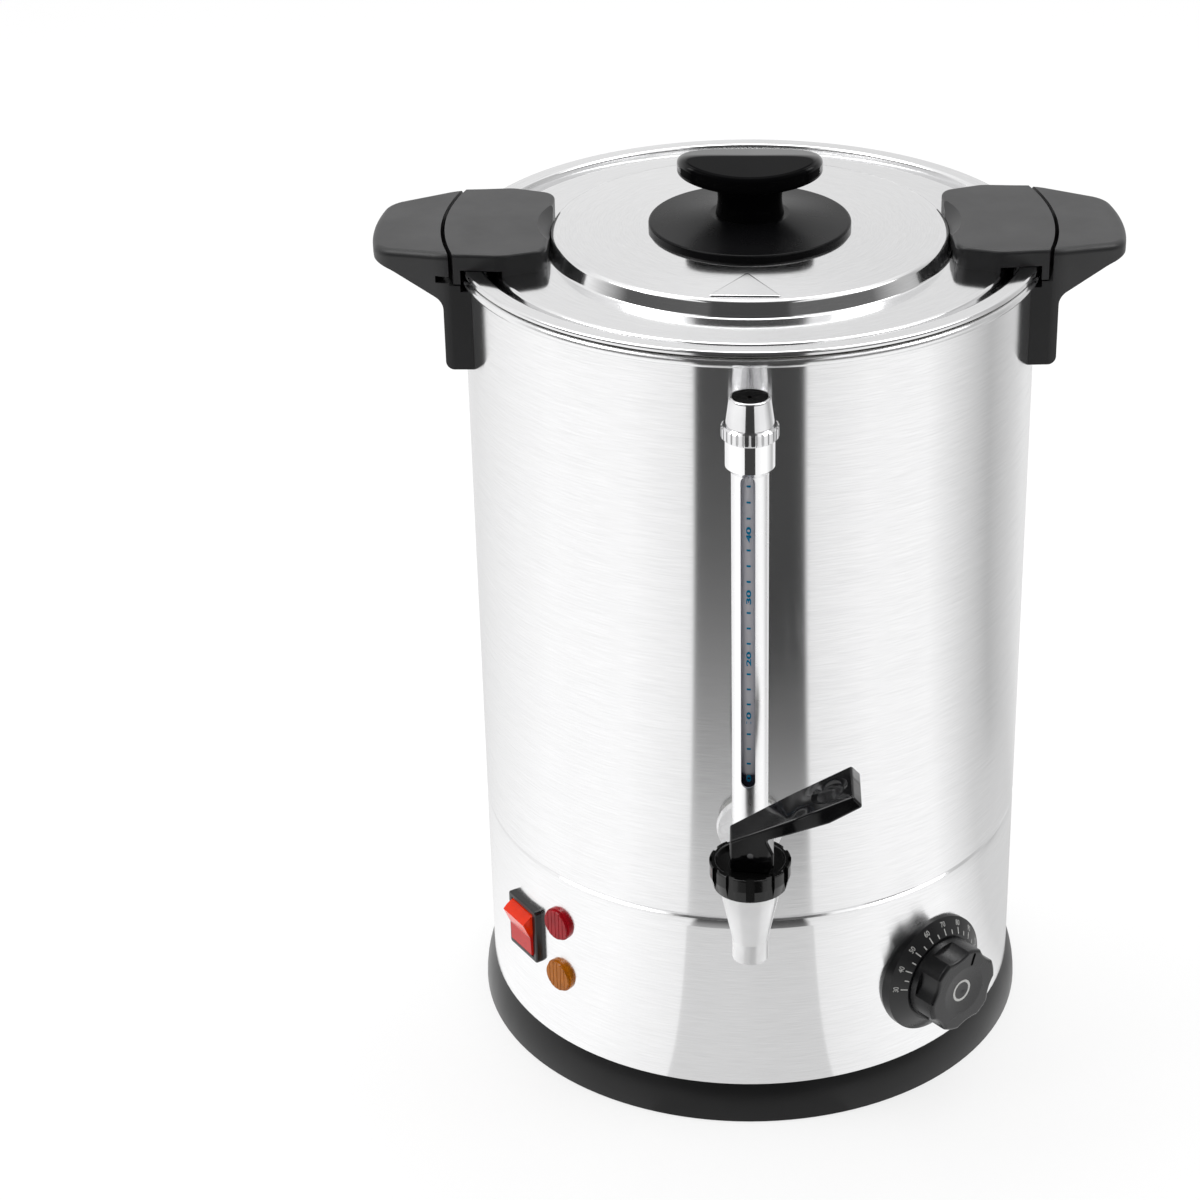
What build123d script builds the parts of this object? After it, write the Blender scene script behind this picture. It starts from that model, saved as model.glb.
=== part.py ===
from build123d import *
import os
from math import asin, atan2, cos, degrees, radians, sin, sqrt, tan

# Electric hot-drinks urn: a sheet steel tank on a housing that holds the heater and the controls,
# with a twist-off lid, a sight gauge, a lever tap, a thermostat dial, a switch and two lamps.
# Millimetres. Z runs up the urn's axis from the surface that it stands on, and the tap faces -Y.

os.makedirs("parts", exist_ok=True)

# ---- Clearances -----------------------------------------------------------------------------
running_gap = 0.06      # radial gap of a shaft or thread that turns in its hole
fit_gap = 0.1           # gap round a piece that is fixed in its hole
free_gap = 0.3          # gap between pieces that move past each other

# ---- Shell ----------------------------------------------------------------------------------
sheet = 0.8
shell_radius = 120.0
base_height = 17.8      # land of the base ring that carries the housing
seam_height = 105.2     # joint between the tank and the housing
rim_height = 360.3      # centre of the rolled rim
rim_bead = 2.0
rim_overhang = 1.2
floor_corner = 6.0
flange_depth = 10.0
shoulder_height = 6.5
shoulder_depth = 0.9
seat_lap = 0.1          # what the tank's locating flange stays inside the housing

tank_inner = shell_radius - sheet
rim_top = rim_height + rim_bead
bead_radius = shell_radius + rim_overhang

# ---- Base -----------------------------------------------------------------------------------
base_flare = 4.1
base_stand = 0.6        # how far the rubber ring lifts the base ring
base_spigot = 9.2
base_wall = 2.4
foot_inset = 1.0        # from the shell's line to the rubber ring
foot_width = 6.0
foot_height = 2.6
plate_inset = 9.0       # from the shell's line to the bottom plate's edge
plate_low = 5.0
plate_thickness = 1.2
ledge_width = 7.5       # lap of the base ring's ledge over the bottom plate
ledge_height = 4.0
vent_inset = 41.0       # from the bottom plate's edge to the middle of the vents
vent_count = 16
vent_length = 26.0
vent_width = 3.0
base_screw_inset = 3.4  # from the bottom plate's edge
base_screw_count = 6
screw_shank = 1.6
screw_head = 3.2
screw_head_height = 2.0
screw_head_taper = 15.0

foot_outer = shell_radius - foot_inset
foot_inner = foot_outer - foot_width
plate_radius = shell_radius - plate_inset
ledge_inner = plate_radius - ledge_width
base_screw_circle = plate_radius - base_screw_inset
vent_radius = plate_radius - vent_inset

# ---- Heater ---------------------------------------------------------------------------------
heater_inset = 48.0     # from the shell's line
heater_thickness = 4.0
tube_inset = 20.0       # from the heater plate's edge to the tube's circle
tube_radius = 3.4
tube_arc = 320.0
tube_pin_radius = 2.0
tube_pin_length = 14.0
tube_pin_inset = 3.0    # degrees from each end of the tube
cutout_radius = 8.0
cutout_height = 7.0

heater_radius = shell_radius - heater_inset
tube_circle = heater_radius - tube_inset

# ---- Lid ------------------------------------------------------------------------------------
seal_thickness = 1.6
lid_overhang = 2.6
lid_lip = 1.5
lid_wall_gap = 4.0      # between the tank's wall and the lid's plunging wall
gutter_width = 3.2
gutter_slope = 1.2
gutter_depth = 5.2      # below the lid's ledge
ledge_drop = 1.9        # from the lid's flange down to its ledge
panel_inset = 37.6      # from the shell's line to the raised middle panel
panel_slope = 2.2
panel_rise = 6.6        # of the middle panel above the ledge
panel_bend = 1.8
ledge_bend = 1.6
gutter_bend = 1.2
lip_bend = 0.8
emboss_height = 0.7
emboss_edge = 0.4
emboss_corner = 2.4
emboss_tip_gap = 10.7   # from the knob's base disc to the mark's point
emboss_base_gap = 4.1   # from the panel's edge to the mark's base
emboss_base_skew = 0.3
emboss_tip_aside = 1.0
emboss_left = 16.8
emboss_right = 12.8

seal_low = rim_top + free_gap
seal_high = seal_low + seal_thickness
lid_flange_low = seal_high + free_gap
lid_flange_top = lid_flange_low + sheet
lid_ledge_top = lid_flange_top - ledge_drop
panel_top = lid_ledge_top + panel_rise
gutter_low = lid_ledge_top - gutter_depth
lid_wall_radius = tank_inner - lid_wall_gap
panel_radius = shell_radius - panel_inset

# ---- Lid knob -------------------------------------------------------------------------------
knob_base_radius = 42.3
knob_base_edge = 3.2
knob_base_height = 6.2
knob_base_round = 1.0
knob_base_swell = 1.0   # of its cone's middle above the straight line
neck_lap = 1.0          # of the disc under the neck's edge
neck_radius = 13.4
neck_flare = 17.5
neck_foot = 0.9         # how much wider its foot is
neck_root = 1.2         # of its flare above the cap's underside
neck_sink = 2.0         # into the cap
cap_length = 60.4
cap_width = 39.0
cap_thickness = 7.7
cap_low = 20.0          # underside of the cap above the lid's panel
cap_bow = 150.0         # radius of its saddle
cap_edge = 2.4
knob_screw_radius = 2.5
knob_screw_head = 4.5
knob_screw_length = 17.0
washer_radius = 9.0
washer_thickness = 1.0

emboss_base = emboss_base_gap - panel_radius
emboss_points = (
    (-emboss_tip_aside, -knob_base_radius - emboss_tip_gap),
    (-emboss_left, emboss_base + emboss_base_skew),
    (emboss_right, emboss_base - emboss_base_skew),
)

# ---- Lid lugs and handles -------------------------------------------------------------------
grip_half_width = 38.0
grip_top = rim_top + 10.2
tab_gap = 4.0           # from the shell to the tab that hangs behind the rim
tab_thickness = 2.7
tab_low = rim_top - 2.9
slit = 1.7              # between a lug and its handle
lug_start = 0.6         # from the middle panel's edge to the lug's inner end
lug_waist_inset = 19.0  # from the shell's line
lug_waist_half = 40.0
lug_inner_half = 33.5
lug_corner = 7.0
lug_floor_gap = 0.2
lug_gutter_gap = 1.5    # from the gutter's slope to where the lug bridges
lug_flank_gap = 1.6     # from the foot of the panel's slope
lug_hip_swell = 0.8
lug_hip_corner = 20.0
lug_waist_corner = 12.0
scoop_from_end = 37.3   # axis of the thumb scoop's cone, from the lug's inner end
scoop_aside = -1.0
scoop_radius = 42.8     # at the grip's top
scoop_depth = 6.0
scoop_slope = 42.0      # of the cone's wall, above level
grip_edge = 1.6
lug_screw_inset = 23.0  # from the shell's line
lug_screw_spread = 16.0
lug_screw_length = 6.5

leg_thickness = 5.5
leg_drop = 38.8         # these three are below the rim's centre
leg_corner = 3.5
elbow_drop = 8.7
elbow_radius = 6.0
underside_bend = 21.5   # from the leg to where the underside flattens
underside_bend_radius = 20.0
underside_slope = 26.3
underside_tip_slope = 17.7
grip_reach = 36.8       # of a handle beyond the shell
grip_droop = 4.0        # slope of its top, down to the tip
grip_droop_start = 122.7
grip_tip_half = 27.3
grip_tip_at = 33.2
grip_tip_corner = 12.0
grip_tip_under = 1.6
handle_edge = 3.0
grip_leg_corner = 20.0
shelf_drop = 1.7
notch_outer = 128.3     # its outer wall, from the urn's axis
notch_lip = 1.0         # between the shelf and the notch
notch_height = 2.9
notch_length = 26.0
bracket_half = 30.0
bracket_thickness = 2.0
bracket_height = 16.0
handle_screw_drop = 25.3  # below the rim's centre
handle_screw_spread = 20.0
right_turn = 2.3        # how far the right handle and lug stand round from opposite the left

leg_low = rim_height - leg_drop
elbow_height = rim_height - elbow_drop
shelf_height = rim_height - shelf_drop
notch_low = shelf_height + notch_lip
handle_screw_at = rim_height - handle_screw_drop
lug_inner = panel_radius + lug_start
lug_waist = shell_radius - lug_waist_inset
lug_screw_at = shell_radius - lug_screw_inset
scoop_at = lug_inner - scoop_from_end
tab_inner = shell_radius + tab_gap
tab_outer = tab_inner + tab_thickness
handle_inner = tab_outer + slit
left_lug_screws = ((-lug_screw_at, -lug_screw_spread), (-lug_screw_at, lug_screw_spread))
right_side = 180 + right_turn
lug_screw_places = [
    (x * cos(radians(turn)) - y * sin(radians(turn)), x * sin(radians(turn)) + y * cos(radians(turn)))
    for turn in (0, right_side)
    for x, y in left_lug_screws
]

# ---- Sight gauge ----------------------------------------------------------------------------
gauge_reach = 19.0      # from the shell to the gauge's axis
guard_radius = 7.35
guard_wall = 0.9
guard_length = 163.3
guard_taper = 2.6
collar_radius = 9.7
collar_height = 11.3
cap_spigot_radius = 8.0
cap_spigot_height = 7.7
slot_width = 5.8
slot_start = 25.0       # from the tube's lower end
slot_end = 0.7          # past the tube's straight part
slot_turn = -7.0
glass_radius = 4.5
glass_wall = 1.2
seal_sleeve = 7.0
seal_wall = 0.8
glass_seat = 0.5        # end gap of the glass and the seals
glass_drop = 1.0        # of the glass's upper end below the cap's spigot
knurl_radius = 11.2
knurl_height = 5.8
knurl_count = 28
knurl_groove = 0.55
knurl_edge = 0.9
gauge_cap_height = 17.0
gauge_cap_shoulder = 9.5
gauge_cap_top = 8.0
gauge_cap_edge = 0.8
vent_plug_radius = 6.9
vent_plug_height = 3.2
vent_hole = 0.9

gauge_distance = shell_radius + gauge_reach

# ---- Tap ------------------------------------------------------------------------------------
shank_height = 152.0
shank_radius = 7.9
shank_bore = 4.5
shank_inside = 14.0     # reach of the shank into the tank from the shell
boss_height = 8.0
boss_spigot = 8.0
flange_radius = 14.0
flange_thickness = 3.0
outer_washer = 2.6
inner_washer = 2.7
washer_inset = 1.0
nut_width = 24.0
nut_thickness = 6.0
tap_reach = 56.0        # from the shell to the tap's axis
arm_back = 19.0         # from the tap's axis to the end of the shank
arm_radius = 6.4
arm_spigot_radius = 5.9
arm_spigot_length = 10.0
arm_bore = 3.6
spout_drop = 27.4       # of its end below the shank's axis
spout_radius = 7.25
spout_bore = 5.0
spout_length = 8.8
body_radius = 12.6
seat_drop = 8.5
chamber_radius = 8.0
bonnet_rise = 7.6       # of its lower edge above the shank's axis
bonnet_height = 11.0
bonnet_low_radius = 15.0
bonnet_top_radius = 16.4
bonnet_plate = 2.2
bonnet_recess = 2.0
bonnet_recess_radius = 13.6
bonnet_teeth = 12
tooth_gap_width = 3.4
tooth_gap_depth = 1.3
bonnet_edge = 0.6
body_thread_radius = 12.0
stem_radius = 3.0
stem_head_radius = 4.4
stem_head_height = 2.0
stem_head_rise = 1.5    # above the cup's face
seat_cup_radius = 7.4
seat_cup_height = 6.2
spring_radius = 5.5
spring_wire = 0.55
spring_turns = 6
pin_rise = 24.5
pin_radius = 1.25
pin_overhang = 1.0
eye_radius = 3.8
eye_thickness = 5.2

gauge_low = shank_height + boss_height
tap_distance = shell_radius + tap_reach
spout_low = shank_height - spout_drop
seat_height = shank_height - seat_drop
bonnet_low = shank_height + bonnet_rise
pin_height = shank_height + pin_rise
bonnet_top = bonnet_low + bonnet_height
bonnet_floor = bonnet_top - bonnet_recess
bonnet_plate_low = bonnet_floor - bonnet_plate
cup_low = seat_height + free_gap
cup_top = cup_low + seat_cup_height

# ---- Lever ----------------------------------------------------------------------------------
lever_tilt = 30.0
lever_back = 8.1        # behind the pin
lever_reach = 44.0      # from the pin to the tip
lever_back_half = 6.2
lever_mid_half = 9.9
lever_tip_half = 12.4
lever_edge = 1.0
lever_tip_rise = 30.1   # these heights are above the pin
lever_tip_under = 25.7
lever_heel_rise = 6.0
lever_blade_root = 7.7
lever_blade_under = 17.3
lever_nose_top = 1.5
lever_nose_low = 3.6    # above the heel's foot
lever_foot = 7.0        # these reaches are from the pin toward the tip
lever_nose = 9.5
lever_nose_back = 9.3
lever_root = 6.5
lever_bend = 31.0
lever_tip_chamfer = 4.0
lever_corner = 1.2
dish_radius = 8.0
dish_depth = 1.0
dish_taper = 65.0
dish_at = 31.0

# ---- Dial -----------------------------------------------------------------------------------
dial_azimuth = 41.6     # from the front toward +X
dial_height = 56.4
dial_radius = 27.2
dial_rim = 1.3          # height of the dial's edge above the shell
dial_face_radius = 20.3
dial_rise = 6.0         # of the dial's face above the shell
post_spread = 14.0
post_radius = 3.0
shaft_radius = 3.0
shaft_length = 34.0
thermostat_width = 34.0
thermostat_depth = 22.0
thermostat_inset = 8.0
thermostat_corner = 3.0
bush_radius = 4.8
bush_length = 7.0
knob_radius = 19.3
knob_depth = 13.7
knob_skirt = 3.2
flute_count = 6
flute_start = 40.0      # counter-clockwise from +X, seen from outside
flute_width = 11.5
flute_depth = 1.8
knob_edge = 1.6
knob_dish_radius = 11.5
knob_dish_depth = 0.7
pointer_angle = 70.0    # of the pointer's groove, counter-clockwise from +X
pointer_start = 12.0
pointer_end = 18.0
pointer_width = 1.6
pointer_depth = 0.7
bulb_radius = 3.0
bulb_length = 32.0
bulb_inset = 42.0       # from the shell to the bulb's inner end
bulb_lead = 4.0         # straight tube beyond the bulb
capillary_radius = 0.8
capillary_rise = 10.0   # above the thermostat
capillary_bend = 3.0

# ---- Switch and lamps -----------------------------------------------------------------------
switch_azimuth = -55.5
switch_height = 66.0
bezel_width = 23.0
bezel_height = 27.0
bezel_front = 2.6       # above the shell
bezel_corner = 1.5
bezel_edge = 0.8
bezel_depth = 5.6
switch_body_width = 20.6
switch_body_height = 24.8
switch_body_depth = 16.0
window_width = 17.8
window_height = 22.6
rocker_pivot = 4.1      # below the bezel's front
rocker_tilt = 12.0
rocker_end_radius = 11.0
rocker_front = 7.0      # of its ends above the pivot
rocker_valley = 5.4     # of its middle above the pivot
rocker_back = 4.0
trunnion_radius = 1.2
trunnion_length = 0.8
blade_width = 4.8
blade_thickness = 0.8
blade_length = 8.0
lamp_azimuth = -44.0
heat_lamp_height = 79.5
warm_lamp_height = 52.6
lens_flange = 7.6
lens_radius = 6.8
lens_rim = 1.2
lens_front = 2.6
lens_stem = 5.4
lens_stem_length = 8.0
lens_groove = 0.35
holder_radius = 7.2
holder_depth = 18.0

# ---- Mains inlet and terminals --------------------------------------------------------------
inlet_height = 50.0
inlet_flange_width = 50.0
inlet_flange_height = 24.0
inlet_front = 3.4
inlet_corner = 5.0
inlet_flange_depth = 7.4
inlet_body_width = 28.0
inlet_body_height = 20.6
inlet_depth = 20.0
socket_width = 24.4
socket_height = 16.6
socket_depth = 17.0
socket_chamfer = 4.0
inlet_screw_spread = 20.0
blade_pitch = 7.0
earth_rise = 4.0
inlet_blade_width = 4.0
inlet_blade_thickness = 2.0
inlet_blade_reach = 12.0
inlet_tab_length = 8.0
terminal_length = 40.0
terminal_width = 16.0
terminal_height = 12.0
terminal_inset = 46.0   # from the shell's line

MIN_MIN = (Align.MIN, Align.MIN)


def facing_plane(azimuth, height, distance, centre_y=0.0):
    """A vertical plane that faces outward at an azimuth measured from the front toward +X."""
    turn = radians(azimuth)
    return Plane(
        origin=(distance * sin(turn), centre_y - distance * cos(turn), height),
        x_dir=(cos(turn), sin(turn), 0),
        z_dir=(sin(turn), -cos(turn), 0),
    )


def cut_inside(radius, low, high):
    """Cut away what lies inside a radius round the urn's axis, between two heights."""
    with BuildSketch(Plane.XY.offset(low)) as disc:
        Circle(radius)
    extrude(disc.sketch, amount=high - low, mode=Mode.SUBTRACT)


def shell_depth(radius, offset):
    """How far out a cylinder round the urn's axis lies at an offset beside its nearest line."""
    return sqrt(radius**2 - offset**2)


gauge_plane = Plane.XZ.offset(gauge_distance)
gauge_axis = Axis((0, -gauge_distance, 0), (0, 0, 1))
tap_plane = Plane.XZ.offset(tap_distance)
tap_axis = Axis((0, -tap_distance, 0), (0, 0, 1))

# ---- Tank: wall, floor, rolled rim and the flange that drops into the housing ---------------
flange_radius_outer = shell_radius - shoulder_depth - sheet - seat_lap

with BuildPart() as tank:
    with BuildSketch(Plane.XZ) as tank_profile:
        with Locations((tank_inner, seam_height)):
            Rectangle(sheet, rim_height - seam_height, align=MIN_MIN)
        with Locations((0, seam_height)):
            Rectangle(tank_inner, sheet, align=MIN_MIN)
        corner = tank_profile.vertices().sort_by_distance((tank_inner, seam_height + sheet, 0))
        fillet(corner[0], floor_corner)
        with Locations((flange_radius_outer - sheet, seam_height - flange_depth)):
            Rectangle(sheet, flange_depth, align=MIN_MIN)
        with Locations((bead_radius, rim_height)):
            Circle(rim_bead)
    revolve(axis=Axis.Z)
    with BuildSketch(Plane.XZ):
        with Locations((0, shank_height)):
            Circle(shank_radius + fit_gap)
    extrude(amount=shell_radius + sheet, mode=Mode.SUBTRACT)
tank.part.label = "tank"

# ---- Skirt: housing wall with a rolled shoulder under the tank ------------------------------
with BuildPart() as skirt:
    with BuildSketch(Plane.XZ):
        with BuildLine():
            shoulder_low = seam_height - shoulder_height
            wall = Line((shell_radius, base_height), (shell_radius, shoulder_low))
            TangentArc(wall @ 1, (shell_radius - shoulder_depth, seam_height), tangent=(0, 1))
            Line(
                (shell_radius - shoulder_depth, seam_height),
                (tank_inner - shoulder_depth, seam_height),
            )
            TangentArc(
                (tank_inner, shoulder_low), (tank_inner - shoulder_depth, seam_height), tangent=(0, 1)
            )
            Polyline((tank_inner, shoulder_low), (tank_inner, base_height), wall @ 0)
        make_face()
    revolve(axis=Axis.Z)
    # Openings for the dial's shaft and posts, the switch, the lamps and the inlet.
    with BuildSketch(facing_plane(dial_azimuth, dial_height, 0)):
        Circle(bush_radius + fit_gap)
        with Locations((-post_spread, 0), (post_spread, 0)):
            Circle(post_radius + fit_gap)
    extrude(amount=shell_radius + sheet, mode=Mode.SUBTRACT)
    with BuildSketch(facing_plane(switch_azimuth, switch_height, 0)):
        Rectangle(switch_body_width + 2 * fit_gap, switch_body_height + 2 * fit_gap)
    extrude(amount=shell_radius + sheet, mode=Mode.SUBTRACT)
    for lamp_height in (heat_lamp_height, warm_lamp_height):
        with BuildSketch(facing_plane(lamp_azimuth, lamp_height, 0)):
            Circle(lens_stem + fit_gap)
        extrude(amount=shell_radius + sheet, mode=Mode.SUBTRACT)
    with BuildSketch(facing_plane(180, inlet_height, 0)):
        Rectangle(inlet_body_width + 2 * fit_gap, inlet_body_height + 2 * fit_gap)
        with Locations((-inlet_screw_spread, 0), (inlet_screw_spread, 0)):
            Circle(screw_shank + fit_gap)
    extrude(amount=shell_radius + sheet, mode=Mode.SUBTRACT)
skirt.part.label = "skirt"

# ---- Base: moulded ring, rubber foot ring, bottom plate and its screws ----------------------
plate_top = plate_low + plate_thickness
ledge_top = plate_top + ledge_height

with BuildPart() as base_ring:
    with BuildSketch(Plane.XZ):
        with BuildLine():
            foot = (shell_radius + base_flare, base_stand)
            land = (shell_radius, base_height)
            TangentArc(foot, land, tangent=(0, 1))
            Polyline(
                land,
                (tank_inner - fit_gap, base_height),
                (tank_inner - fit_gap, base_height + base_spigot),
                (tank_inner - base_wall, base_height + base_spigot),
                (tank_inner - base_wall, ledge_top),
                (ledge_inner, ledge_top),
                (ledge_inner, plate_top),
                (plate_radius + fit_gap, plate_top),
                (plate_radius + fit_gap, base_stand),
                foot,
            )
        make_face()
        with Locations((foot_inner - fit_gap, base_stand)):
            Rectangle(
                foot_outer - foot_inner + 2 * fit_gap,
                foot_height - base_stand,
                align=MIN_MIN,
                mode=Mode.SUBTRACT,
            )
    revolve(axis=Axis.Z)
    with BuildSketch(Plane.XY.offset(plate_top)):
        with PolarLocations(base_screw_circle, base_screw_count):
            Circle(screw_shank + fit_gap)
    extrude(amount=ledge_height, mode=Mode.SUBTRACT)
base_ring.part.label = "base_ring"

with BuildPart() as foot_ring:
    with BuildSketch():
        Circle(foot_outer)
        Circle(foot_inner, mode=Mode.SUBTRACT)
    extrude(amount=foot_height)
    fillet(foot_ring.edges().group_by(Axis.Z)[0], base_stand / 2)
foot_ring.part.label = "foot_ring"

with BuildPart() as base_plate:
    with BuildSketch(Plane.XY.offset(plate_low)):
        Circle(plate_radius)
        with PolarLocations(vent_radius, vent_count):
            SlotOverall(vent_length, vent_width, mode=Mode.SUBTRACT)
        with PolarLocations(base_screw_circle, base_screw_count):
            Circle(screw_shank + fit_gap, mode=Mode.SUBTRACT)
    extrude(amount=plate_thickness)
base_plate.part.label = "base_plate"

with BuildPart() as base_screws:
    with BuildSketch(Plane.XY.offset(plate_low)):
        with PolarLocations(base_screw_circle, base_screw_count):
            Circle(screw_head)
    extrude(amount=-screw_head_height, taper=screw_head_taper)
    with BuildSketch(Plane.XY.offset(plate_low)):
        with PolarLocations(base_screw_circle, base_screw_count):
            Circle(screw_shank)
    extrude(amount=plate_thickness + ledge_height)
base_screws.part.label = "base_screws"

# ---- Heater: plate bonded under the tank, sheathed tube and thermal cut-out -----------------
heater_low = seam_height - heater_thickness

with BuildPart() as heater_plate:
    with BuildSketch(Plane.XY.offset(heater_low)):
        Circle(heater_radius)
    extrude(amount=heater_thickness)
    chamfer(heater_plate.edges().group_by(Axis.Z)[0], heater_thickness / 4)
heater_plate.part.label = "heater_plate"

with BuildPart() as heater_tube:
    with BuildSketch(Plane.XZ):
        with Locations((tube_circle, heater_low)):
            Rectangle(2 * tube_radius, tube_radius, align=(Align.CENTER, Align.MAX))
        with Locations((tube_circle, heater_low - tube_radius)):
            Circle(tube_radius)
    revolve(axis=Axis.Z, revolution_arc=tube_arc)
    pin_arc = tube_arc - 2 * tube_pin_inset
    with BuildSketch(Plane.XY.offset(heater_low - tube_radius)):
        with PolarLocations(tube_circle, 2, start_angle=tube_pin_inset, angular_range=pin_arc, endpoint=True):
            Circle(tube_pin_radius)
    extrude(amount=-tube_radius - tube_pin_length)
heater_tube.part.label = "heater_tube"

with BuildPart() as thermal_cutout:
    with BuildSketch(Plane.XY.offset(heater_low)):
        Circle(cutout_radius)
    extrude(amount=-cutout_height)
    with BuildSketch(Plane.XY.offset(heater_low - cutout_height)):
        with Locations((-cutout_radius / 2, 0), (cutout_radius / 2, 0)):
            Rectangle(blade_thickness, blade_width)
    extrude(amount=-blade_length)
thermal_cutout.part.label = "thermal_cutout"

# ---- Lid pan: one sheet pressed into a panel, a ledge, a gutter and a flange ----------------
with BuildPart() as lid:
    with BuildSketch(Plane.XZ):
        half = sheet / 2
        with BuildLine():
            FilletPolyline(
                (0, panel_top - half),
                (panel_radius, panel_top - half),
                (panel_radius + panel_slope, lid_ledge_top - half),
                (lid_wall_radius - 2 * gutter_slope - gutter_width, lid_ledge_top - half),
                (lid_wall_radius - gutter_slope - gutter_width, gutter_low + half),
                (lid_wall_radius - gutter_slope, gutter_low + half),
                (lid_wall_radius, lid_flange_top - half),
                (shell_radius + lid_overhang - half, lid_flange_top - half),
                (shell_radius + lid_overhang - half, lid_flange_top - half - lid_lip),
                radius=(panel_bend, ledge_bend, *4 * (gutter_bend,), lip_bend),
            )
        trace(line_width=sheet)
    revolve(axis=Axis.Z)
    # Pressed pointer mark, and the holes for the knob's and the lugs' screws.
    with BuildSketch(Plane.XY.offset(panel_top)) as emboss:
        with BuildLine():
            FilletPolyline(*emboss_points, radius=emboss_corner, close=True)
        make_face()
    extrude(amount=emboss_height)
    fillet(lid.faces().sort_by(Axis.Z)[-1].edges(), emboss_edge)
    with BuildSketch(Plane.XY.offset(panel_top - sheet)):
        add(emboss.sketch_local)
        offset(amount=-sheet)
    extrude(amount=emboss_height, mode=Mode.SUBTRACT)
    with BuildSketch(Plane.XY.offset(lid_ledge_top - sheet)):
        with Locations(*lug_screw_places):
            Circle(screw_shank + fit_gap)
    extrude(amount=sheet, mode=Mode.SUBTRACT)
    with BuildSketch(Plane.XY.offset(panel_top - sheet)):
        Circle(knob_screw_radius + fit_gap)
    extrude(amount=sheet, mode=Mode.SUBTRACT)
lid.part.label = "lid"

with BuildPart() as lid_seal:
    with BuildSketch(Plane.XY.offset(seal_low)):
        Circle(bead_radius)
        Circle(lid_wall_radius + half + free_gap, mode=Mode.SUBTRACT)
    extrude(amount=seal_thickness)
lid_seal.part.label = "lid_seal"

# ---- Lid knob: flared disc, neck with a saddle-shaped cap, screw and washer -----------------
neck_low = panel_top + knob_base_height
cap_low_height = panel_top + cap_low

with BuildPart() as knob_base:
    with BuildSketch(Plane.XZ):
        with BuildLine():
            rim_point = (knob_base_radius, panel_top + knob_base_edge - knob_base_round)
            slope_point = (knob_base_radius - knob_base_round, panel_top + knob_base_edge)
            Polyline(
                (knob_screw_radius + fit_gap, neck_low),
                (knob_screw_radius + fit_gap, panel_top),
                (knob_base_radius, panel_top),
                rim_point,
            )
            TangentArc(rim_point, slope_point, tangent=(0, 1))
            ThreePointArc(
                slope_point,
                ((knob_base_radius + neck_flare) / 2, panel_top + knob_base_edge + knob_base_swell),
                (neck_flare - neck_lap, neck_low),
            )
            Line((neck_flare - neck_lap, neck_low), (knob_screw_radius + fit_gap, neck_low))
        make_face()
    revolve(axis=Axis.Z)
knob_base.part.label = "knob_base"

with BuildPart() as lid_knob:
    # The cap's slab is bowed upward at both ends, then cut to its oval outline.
    with BuildSketch(Plane.XZ):
        with Locations((0, cap_low_height + cap_bow)):
            Circle(cap_bow)
            Circle(cap_bow - cap_thickness, mode=Mode.SUBTRACT)
    extrude(amount=cap_width, both=True)
    with BuildSketch(Plane.XY.offset(cap_low_height - 1)):
        Ellipse(cap_length / 2, cap_width / 2)
    extrude(amount=cap_thickness + cap_length / 4, mode=Mode.INTERSECT)
    fillet(lid_knob.edges(), cap_edge)
    with BuildSketch(Plane.XZ):
        with BuildLine():
            foot_point = (neck_radius + neck_foot, neck_low)
            root_point = (neck_flare, cap_low_height + neck_root)
            Polyline((0, cap_low_height + neck_sink), (0, neck_low), foot_point)
            Spline(
                foot_point,
                (neck_radius, (neck_low + cap_low_height) / 2),
                root_point,
                tangents=((-0.2, 1), (1, 0.5)),
            )
            Polyline(
                root_point, (neck_flare, cap_low_height + neck_sink), (0, cap_low_height + neck_sink)
            )
        make_face()
    revolve(axis=Axis.Z)
    screw_top = panel_top - sheet - washer_thickness + knob_screw_length
    with BuildSketch(Plane.XY.offset(neck_low)):
        Circle(knob_screw_radius + fit_gap)
    extrude(amount=screw_top + fit_gap - neck_low, mode=Mode.SUBTRACT)
lid_knob.part.label = "lid_knob"

with BuildPart() as knob_washer:
    with BuildSketch(Plane.XY.offset(panel_top - sheet - washer_thickness)):
        Circle(washer_radius)
        Circle(knob_screw_radius + fit_gap, mode=Mode.SUBTRACT)
    extrude(amount=washer_thickness)
knob_washer.part.label = "knob_washer"

with BuildPart() as knob_screw:
    with BuildSketch(Plane.XY.offset(panel_top - sheet - washer_thickness)):
        Circle(knob_screw_head)
    extrude(amount=-screw_head_height)
    with BuildSketch(Plane.XY.offset(panel_top - sheet - washer_thickness)):
        Circle(knob_screw_radius)
    extrude(amount=knob_screw_length)
knob_screw.part.label = "knob_screw"

# ---- Lid lugs: grips that stand on the lid's ledge and bridge its gutter and the rim --------
lug_bridge = lid_flange_top + lug_floor_gap
bridge_start = lid_wall_radius - 2 * gutter_slope - gutter_width - lug_gutter_gap
flank_foot = panel_radius + panel_slope + lug_flank_gap
flank_top = panel_radius + half + fit_gap

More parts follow.
